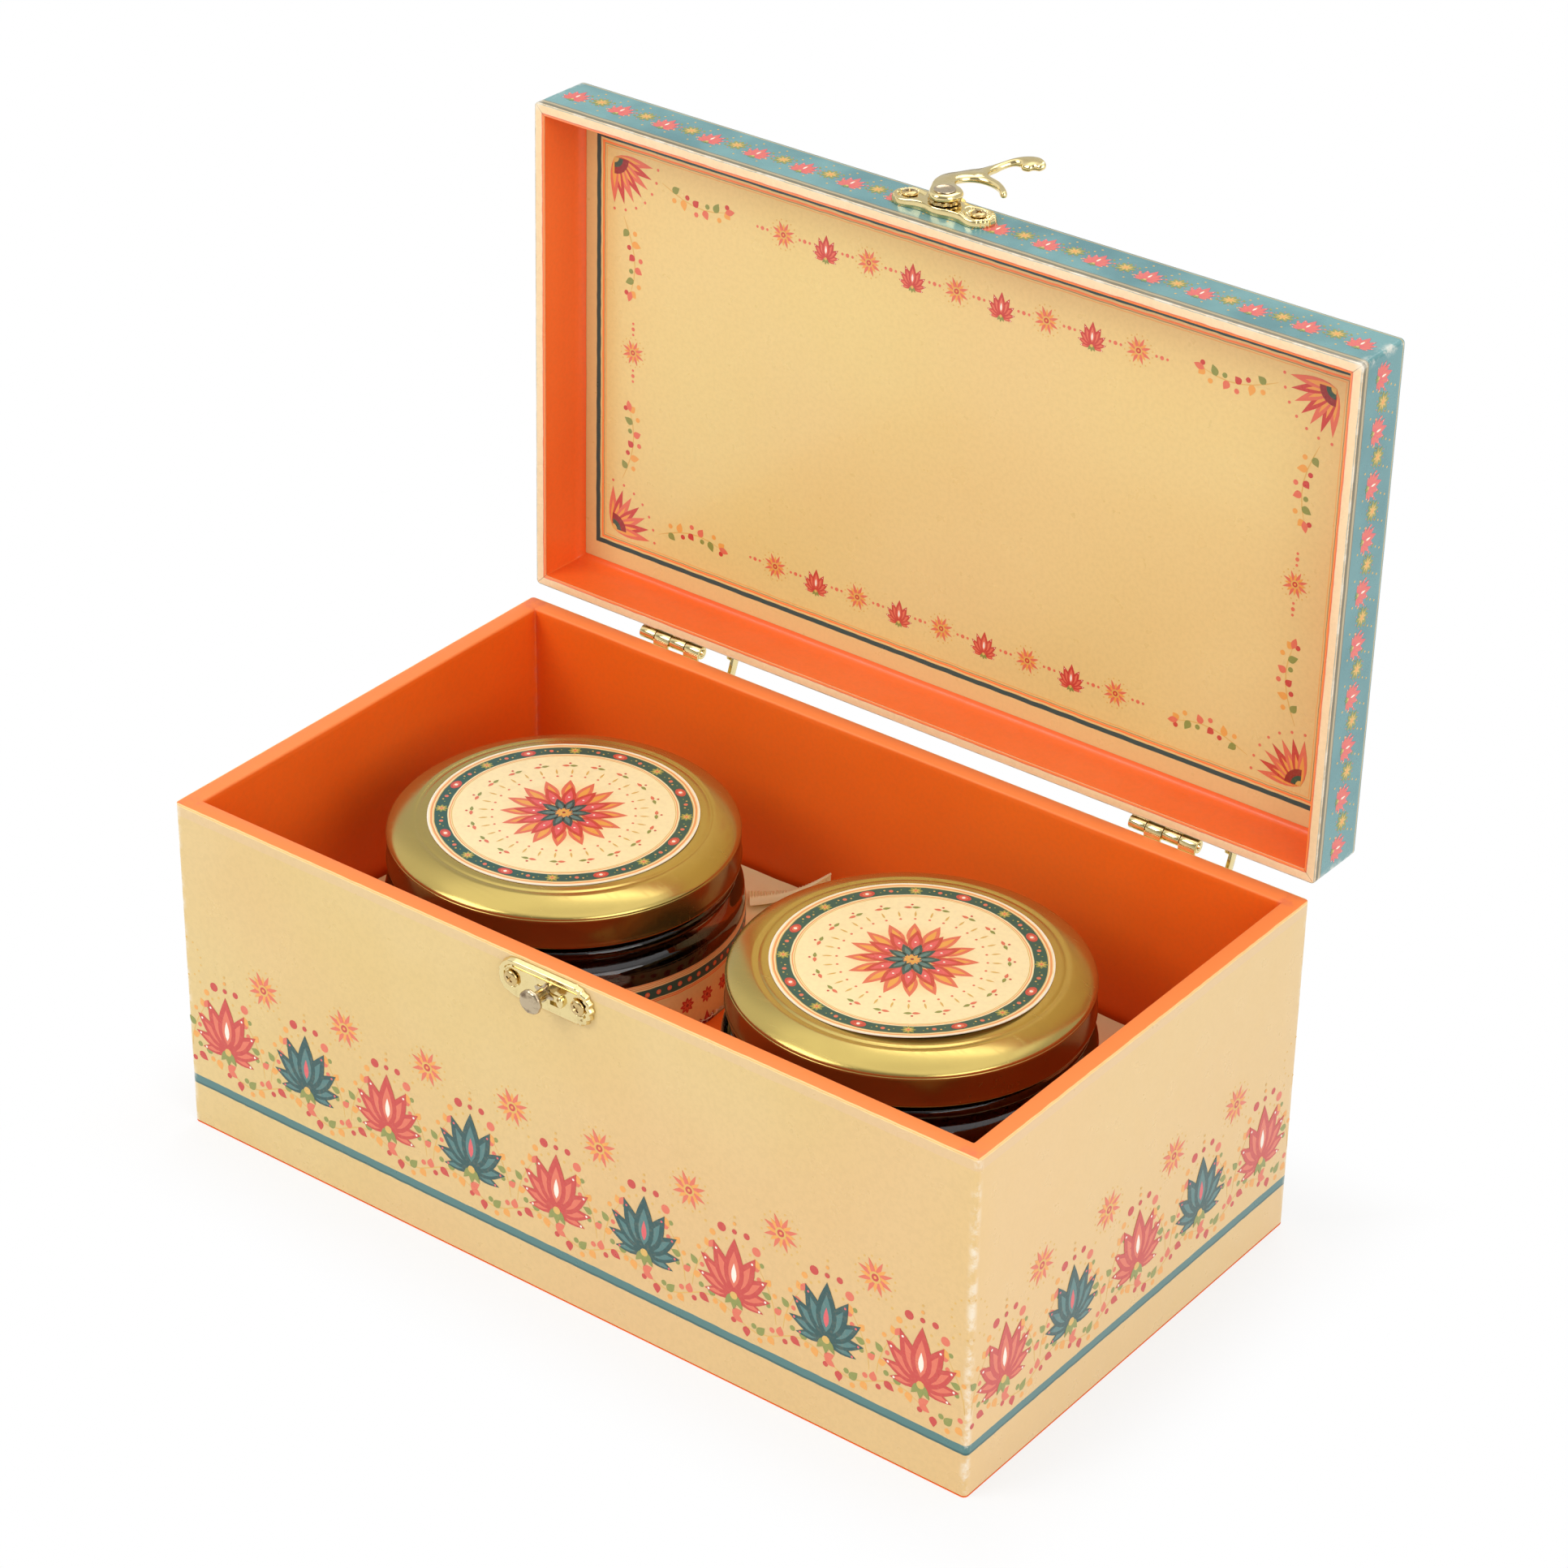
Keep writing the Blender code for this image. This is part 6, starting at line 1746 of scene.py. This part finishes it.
def makeCardPrint():
    place = lidPlace @ facing((0, lid["middleY"], cardBorder["z"]), (1, 0, 0), (0, -1, 0))
    halfX, halfY, gap, pitch = (cardBorder[key] for key in ("halfX", "halfY", "gap", "pitch"))
    parts = printFans(halfX, halfY, cardBorder["reach"], cardBorder["inset"], place)
    size, drop = cardBorder["flower"], -cardBorder["drop"]
    small = motif("chainLotus", moved(lotusMarks(size, "red", "coral", "white"), 0, drop))
    other = motif("chainTealLotus", moved(lotusMarks(size, "darkGreen", "teal", "rose"), 0, drop))
    star = motif("chainStar", starMarks(cardBorder["star"]))
    beads = motif("beads", dotMarks(cardBorder["beads"]))
    for x, y, turn, count, flower in (
        (0, gap - halfY, 0, 9, small),
        (0, halfY - gap, 0, 9, small),
        (gap - halfX, 0, 90, 1, other),
        (halfX - gap, 0, 90, 1, other),
    ):
        spin = Matrix.Rotation(math.radians(turn), 4, "Z")
        across = place @ Matrix.Translation((x * mm, y * mm, 0)) @ spin
        parts.append(printRow(star, flower, count, pitch, across))
        parts.append(printRow(beads, beads, count + 1, pitch, across))
    finishPrint("card_print", parts, "lid", [small, other, star, beads])


lidBand = {"counts": (33, 19), "ends": 5.0, "flower": 7.6, "rosette": 6.4, "fan": 20.0, "fanInset": 13.5}


def makeLidPrint():
    # Sides: red lotus and yellow rosettes by turns; top: corner fans and a round centre
    flower = motif("sideLotus", moved(lotusMarks(lidBand["flower"], "rose", "coral", "white"), 0, 6.6))
    rosette = rosetteMarks(lidBand["rosette"], 8, "leafGreen", "gold", "amber")
    star = motif("sideRosette", moved(rosette, 0, 9.4))
    beads = dotMarks([(x, y, 0.3, 6, "gold") for x, y in ((0, 7.0), (0, 12.4), (-0.9, 4.6), (0.9, 14.2))])
    beads += [(dot(0.3, 9.6, 0.36, 7), "coral"), (leaf(-0.4, 10.6, -40, 1.3, 0.6, 5), "leafGreen")]
    between = motif("sideBeads", beads + [(leaf(0.4, 8.6, 140, 1.3, 0.6, 5), "leafGreen")])
    parts = []
    for side, count, pitch in fourSides(lid, lid["middleY"], lidBand["counts"], lidBand["ends"]):
        parts.append(printRow(flower, star, count, pitch, lidPlace @ side))
        parts.append(printRow(between, between, count - 1, pitch, lidPlace @ side))
    top = lidPlace @ facing((0, lid["middleY"], lid["topZ"]), (1, 0, 0), (0, 1, 0))
    parts += printFans(lid["halfX"], lid["halfY"], lidBand["fan"], lidBand["fanInset"], top)
    petal = motif("topPetal", [(leaf(0, -8, 0, 16, 6.4, 7), "red"), (leaf(0, -6, 0, 12, 3.4, 6), "amber")])
    thin = motif("topLeaf", [(leaf(0, -5, 0, 11, 2.4, 6), "deepTeal"), (dot(0, 8, 0.8, 8), "coral")])
    parts += [printRing(petal, 12, 14, 0, top), printRing(thin, 12, 19, 15, top)]
    parts.append(printOne(rosetteMarks(15, 12, "amber", "coral", "deepRed"), top))
    finishPrint("lid_print", parts, "lid", [flower, star, between, petal, thin])


# The round print on a cap: each ring is (marks, count, radius, turn), the band's three rings first
capBand = sum(labels["green"]) / 2
ovalMarks = [(dot(0, 0, 1.9, 16, 0.66), "red"), (dot(0, 0, 1.15, 14, 0.6), "coral")]
ovalMarks += [(dot(0, 0, 0.45, 8), "white")]
beadRow = [(0, 0, 0.55, 8, "coral"), (-1.5, 0.4, 0.26, 8, "gold"), (1.5, -0.4, 0.26, 8, "gold")]
beadRow += [(-2.5, -0.3, 0.2, 8, "leafGreen"), (2.5, 0.3, 0.2, 8, "leafGreen")]
outerPetal = [(leaf(0, -5.2, 0, 9.4, 3.5, 7), "coral"), (leaf(0, -4.2, 0, 6.4, 1.7, 6), "amber")]
redPetal = [(leaf(0, -4.6, 0, 9.0, 3.6, 7), "red"), (leaf(0, -3.6, 0, 6.2, 1.9, 6), "rose")]
redPetal += [(dot(0, -0.6, 0.3, 6), "white")]
tealPetal = [(leaf(0, -3.0, 0, 5.4, 2.4, 6), "deepTeal"), (leaf(0, -2.6, 0, 3.6, 1.1, 5), "teal")]
sparkMarks = [(dot(0, 0, 0.34, 7), "coral"), (leaf(0, 1.0, 0, 2.4, 0.5, 5), "gold")]
sprigMarks = [(leaf(0, 0, 90, 2.0, 0.9, 5), "leafGreen"), (leaf(0, 0, -90, 2.0, 0.9, 5), "coral")]
sprigMarks += [(dot(0, 1.2, 0.34, 6), "red")]
capBandRings = [
    (ovalMarks, 8, capBand, 12),
    (rosetteMarks(4.2, 8, "leafGreen", "gold", "coral", False), 8, capBand, 34.5),
    (dotMarks(beadRow), 16, capBand, 23.25),
]
capRings = [
    (outerPetal, 16, 11.4, 11.25),
    (redPetal, 12, 8.0, 0),
    (tealPetal, 10, 4.4, 0),
    (sparkMarks, 32, 17.4, 0),
    (sprigMarks, 20, 22.4, 0),
]
capInk = {"layer": 0.008, "heart": 0.05}


def makeCapPrint(number):
    # In the green band, red ovals and gold rosettes by turns; in the middle a round lotus
    place = jarPlace(number, jars["capSeat"] + cap["panel"] + capLabel["glue"] + capLabel["thickness"])
    lifts = [0.0] * len(capBandRings) + [capInk["layer"] * order for order in range(len(capRings))]
    parts = []
    for (marks, count, radius, turn), lift in zip(capBandRings + capRings, lifts):
        one = motif("capMark", marks)
        parts.append(printRing(one, count, radius, turn, Matrix.Translation((0, 0, lift * mm)) @ place))
        discard(one)
    heart = Matrix.Translation((0, 0, capInk["heart"] * mm)) @ place
    parts.append(printOne(rosetteMarks(5.0, 8, "amber", "gold", "deepRed"), heart))
    piece = joinAll(f"cap_{number}_print", parts)
    followCurl(piece, number)
    settle(piece, f"cap_{number}", angle=None)


def followCurl(piece, number):
    # Ink goes up with the label where its edge has lifted
    centre = jarPlace(number).translation
    for point in piece.data.vertices:
        away = (point.co - centre) / mm
        point.co.z += curlAt(number, away.x, away.y) * mm


# Heights below the label's upper edge
sleeveBand = {
    "eyes": [(0, -3.2, 0.7, 8, "coral"), (0, -3.2, 0.28, 6, "gold"), (0, -41.9, 0.8, 8, "red")],
    "small": 10.5, "lotus": 22, "rosette": 18, "sprig": 37, "counts": (20, 90, 40, 30),
}


def makeSleevePrint(number):
    # A band of flowers bent round the jar's label
    radius, base = labels["reach"], labels["high"]
    ringLength = 2 * math.pi * radius
    large, *counts = sleeveBand["counts"]
    eyes = dotMarks([(x, base + y, *rest) for x, y, *rest in sleeveBand["eyes"]])
    small = rosetteMarks(5.4, 8, "red", "coral", "deepRed", False)
    small = moved(small, 0, base - sleeveBand["small"])
    lotus = lotusMarks(9.5, "red", "coral", "white")
    flower = motif("sleeveLotus", moved(lotus, 0, base - sleeveBand["lotus"]))
    rosette = rosetteMarks(8.5, 10, "amber", "gold", "red")
    other = motif("sleeveRosette", moved(rosette, 0, base - sleeveBand["rosette"]))
    parts = [printRow(flower, other, large, ringLength / large, Matrix(), 0)]
    discard(flower, other)
    sprig = vineMarks(curling(-3.0, base - sleeveBand["sprig"], 5.0, 8.0, 1.6))
    for marks, count in zip((eyes, small, sprig), counts):
        one = motif("sleeveMark", marks)
        parts.append(printRow(one, one, count, ringLength / count, Matrix(), 0))
        discard(one)
    piece = joinAll(f"jar_{number}_print", parts)
    for point in piece.data.vertices:
        angle = point.co.x / (radius * mm)
        reach = radius * mm + point.co.z
        point.co = Vector((reach * math.cos(angle), reach * math.sin(angle), point.co.y))
    settle(placed(piece, jarPlace(number)), f"jar_{number}", angle=None)


def dress():
    # Materials for the CAD nodes that are shown as they are
    kept = {
        "board": [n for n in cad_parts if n.endswith("_board") or n.endswith("_rail")],
        "orange": ["floor_lining", "base_paper", "insert_card"],
        "card": ["lid_card"],
        "seal": ["jar_1_gasket", "jar_2_gasket"],
        "brass": ["hinge_left_pin", "hinge_right_pin"],
    }
    for material, nodes in kept.items():
        for node in nodes:
            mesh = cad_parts[node].data
            mesh.materials.clear()
            mesh.materials.append(materials[material])


makeBoxPapers()
makeLidPapers()
makeSatin()
makeGathers()
for number in (1, 2):
    makeJar(number)
    makeCap(number)
print("jars made")
makeLatch()
makeCatch()
for side in ("left", "right"):
    for part, body in (("box_leaf", "box"), ("lid_leaf", "lid"), ("stay", f"stay_{side}")):
        polished(f"hinge_{side}_{part}", f"{side}_{part}", body)
makeScrews()
makeFray()
makeWallPrint()
makeCardPrint()
makeLidPrint()
for number in (1, 2):
    makeCapPrint(number)
    makeSleevePrint(number)
dress()
print("prints and CAD finishes done")


# Studio
studio = {"floor": 3.0, "foot": (0.117, 0.066), "near": 0.035, "lift": 0.72, "paper": 0.86, "world": 0.72}


def makeFloor():
    mesh = bpy.data.meshes.new("studioFloor")
    reach = studio["floor"]
    corners = [(-reach, -reach, 0), (reach, -reach, 0), (reach, reach, 0), (-reach, reach, 0)]
    mesh.from_pydata(corners, [], [(0, 1, 2, 3)])
    floor = newObject("studioFloor", mesh)
    material = bpy.data.materials.new("studioFloor")
    material.use_nodes = True
    tree = material.node_tree
    tree.nodes.clear()
    x, y, z = split(tree, coordinates(tree))
    halfX, halfY = studio["foot"]
    awayX, awayY = minus(tree, unsigned(tree, x), halfX), minus(tree, unsigned(tree, y), halfY)
    away = larger(tree, awayX, awayY)
    # Plain light, with a little shaded paper mixed in close to the box
    blank = remap(tree, away, 0.0, studio["near"], studio["lift"], 1.0)
    path = put(tree, "ShaderNodeLightPath").outputs
    seen = larger(tree, path["Is Glossy Ray"], path["Is Transmission Ray"])
    seen = larger(tree, path["Is Camera Ray"], seen)
    paper = get(tree, "ShaderNodeBsdfDiffuse", {"Color": (*[studio["paper"]] * 3, 1)})
    glow = get(tree, "ShaderNodeEmission", {"Color": (1, 1, 1, 1), "Strength": 1.0})
    mixed = get(tree, "ShaderNodeMixShader", {0: times(tree, blank, seen), 1: paper, 2: glow})
    put(tree, "ShaderNodeOutputMaterial", {"Surface": mixed})
    mesh.materials.append(material)


def makeWorld():
    world = bpy.data.worlds.new("studio")
    bpy.context.scene.world = world
    world.use_nodes = True
    tree = world.node_tree
    tree.nodes.clear()
    path = put(tree, "ShaderNodeLightPath").outputs
    seen = larger(tree, path["Is Camera Ray"], path["Is Transmission Ray"])
    # The studio is white all round; what metal mirrors is darker on the camera's side and low at the
    # back, with a bright soft box overhead
    x, y, z = split(tree, put(tree, "ShaderNodeTexCoord").outputs["Generated"])
    front = times(tree, remap(tree, y, -0.15, -0.7), remap(tree, z, -0.1, 0.35))
    back = times(tree, remap(tree, y, 0.1, 0.45), remap(tree, z, 0.66, 0.8, 1.0, 0.0))
    overhead = times(tree, remap(tree, z, 0.74, 0.84), remap(tree, z, 0.95, 0.99, 1.0, 0.6))
    mirrored = 1.0
    for mask, level in ((front, 0.3), (back, 0.66), (overhead, 1.6)):
        mirrored = times(tree, mirrored, remap(tree, mask, 0.0, 1.0, 1.0, level))
    strength = larger(tree, times(tree, path["Is Glossy Ray"], mirrored), seen)
    plain = minus(tree, 1.0, larger(tree, path["Is Glossy Ray"], seen))
    strength = calc(tree, "MULTIPLY_ADD", plain, studio["world"], strength)
    sky = get(tree, "ShaderNodeBackground", {"Color": (1, 1, 1, 1), "Strength": strength})
    put(tree, "ShaderNodeOutputWorld", {"Surface": sky})


lamps = {
    "key": {"from": (-0.75, -1.1, 1.25), "size": 0.9, "watts": 11.5},
    "fill": {"from": (1.3, -0.45, 0.75), "size": 0.9, "watts": 7.0},
    "back": {"from": (-0.2, 0.9, 1.3), "size": 0.8, "watts": 4.0},
}


lampAim = (0, 0, 0.08)


def makeLamps():
    aim = Vector(lampAim)
    for name, facts in lamps.items():
        light = bpy.data.lights.new(name, "AREA")
        light.shape = "SQUARE"
        light.size = facts["size"]
        light.energy = facts["watts"]
        lamp = newObject(name, light)
        lamp.location = facts["from"]
        lamp.rotation_euler = (aim - lamp.location).to_track_quat("-Z", "Y").to_euler()


camera = {
    "azimuth": 37.076, "elevation": 30.823, "roll": 0.830, "distance": 1.1198, "right": 0.0129,
    "up": 0.09461, "lens": 104.906, "sensor": 36.0, "clip": (0.05, 20.0),
}


def makeCamera():
    azimuth, elevation = math.radians(camera["azimuth"]), math.radians(camera["elevation"])
    roll = math.radians(camera["roll"])
    level = math.cos(elevation)
    back = Vector((math.sin(azimuth) * level, -math.cos(azimuth) * level, math.sin(elevation)))
    right = Vector((0, 0, 1)).cross(back).normalized()
    up = back.cross(right)
    rolledRight = right * math.cos(roll) + up * math.sin(roll)
    rolledUp = up * math.cos(roll) - right * math.sin(roll)
    data = bpy.data.cameras.new("photoCamera")
    data.lens = camera["lens"]
    data.sensor_width = camera["sensor"]
    data.clip_start, data.clip_end = camera["clip"]
    made = newObject("photoCamera", data)
    turn = Matrix((rolledRight, rolledUp, back)).transposed().to_4x4()
    place = back * camera["distance"] + rolledRight * camera["right"] + rolledUp * camera["up"]
    made.matrix_world = Matrix.Translation(place) @ turn
    bpy.context.scene.camera = made


makeFloor()
makeWorld()
makeLamps()
makeCamera()
bpy.context.scene.view_settings.view_transform = "Standard"
print("studio made")
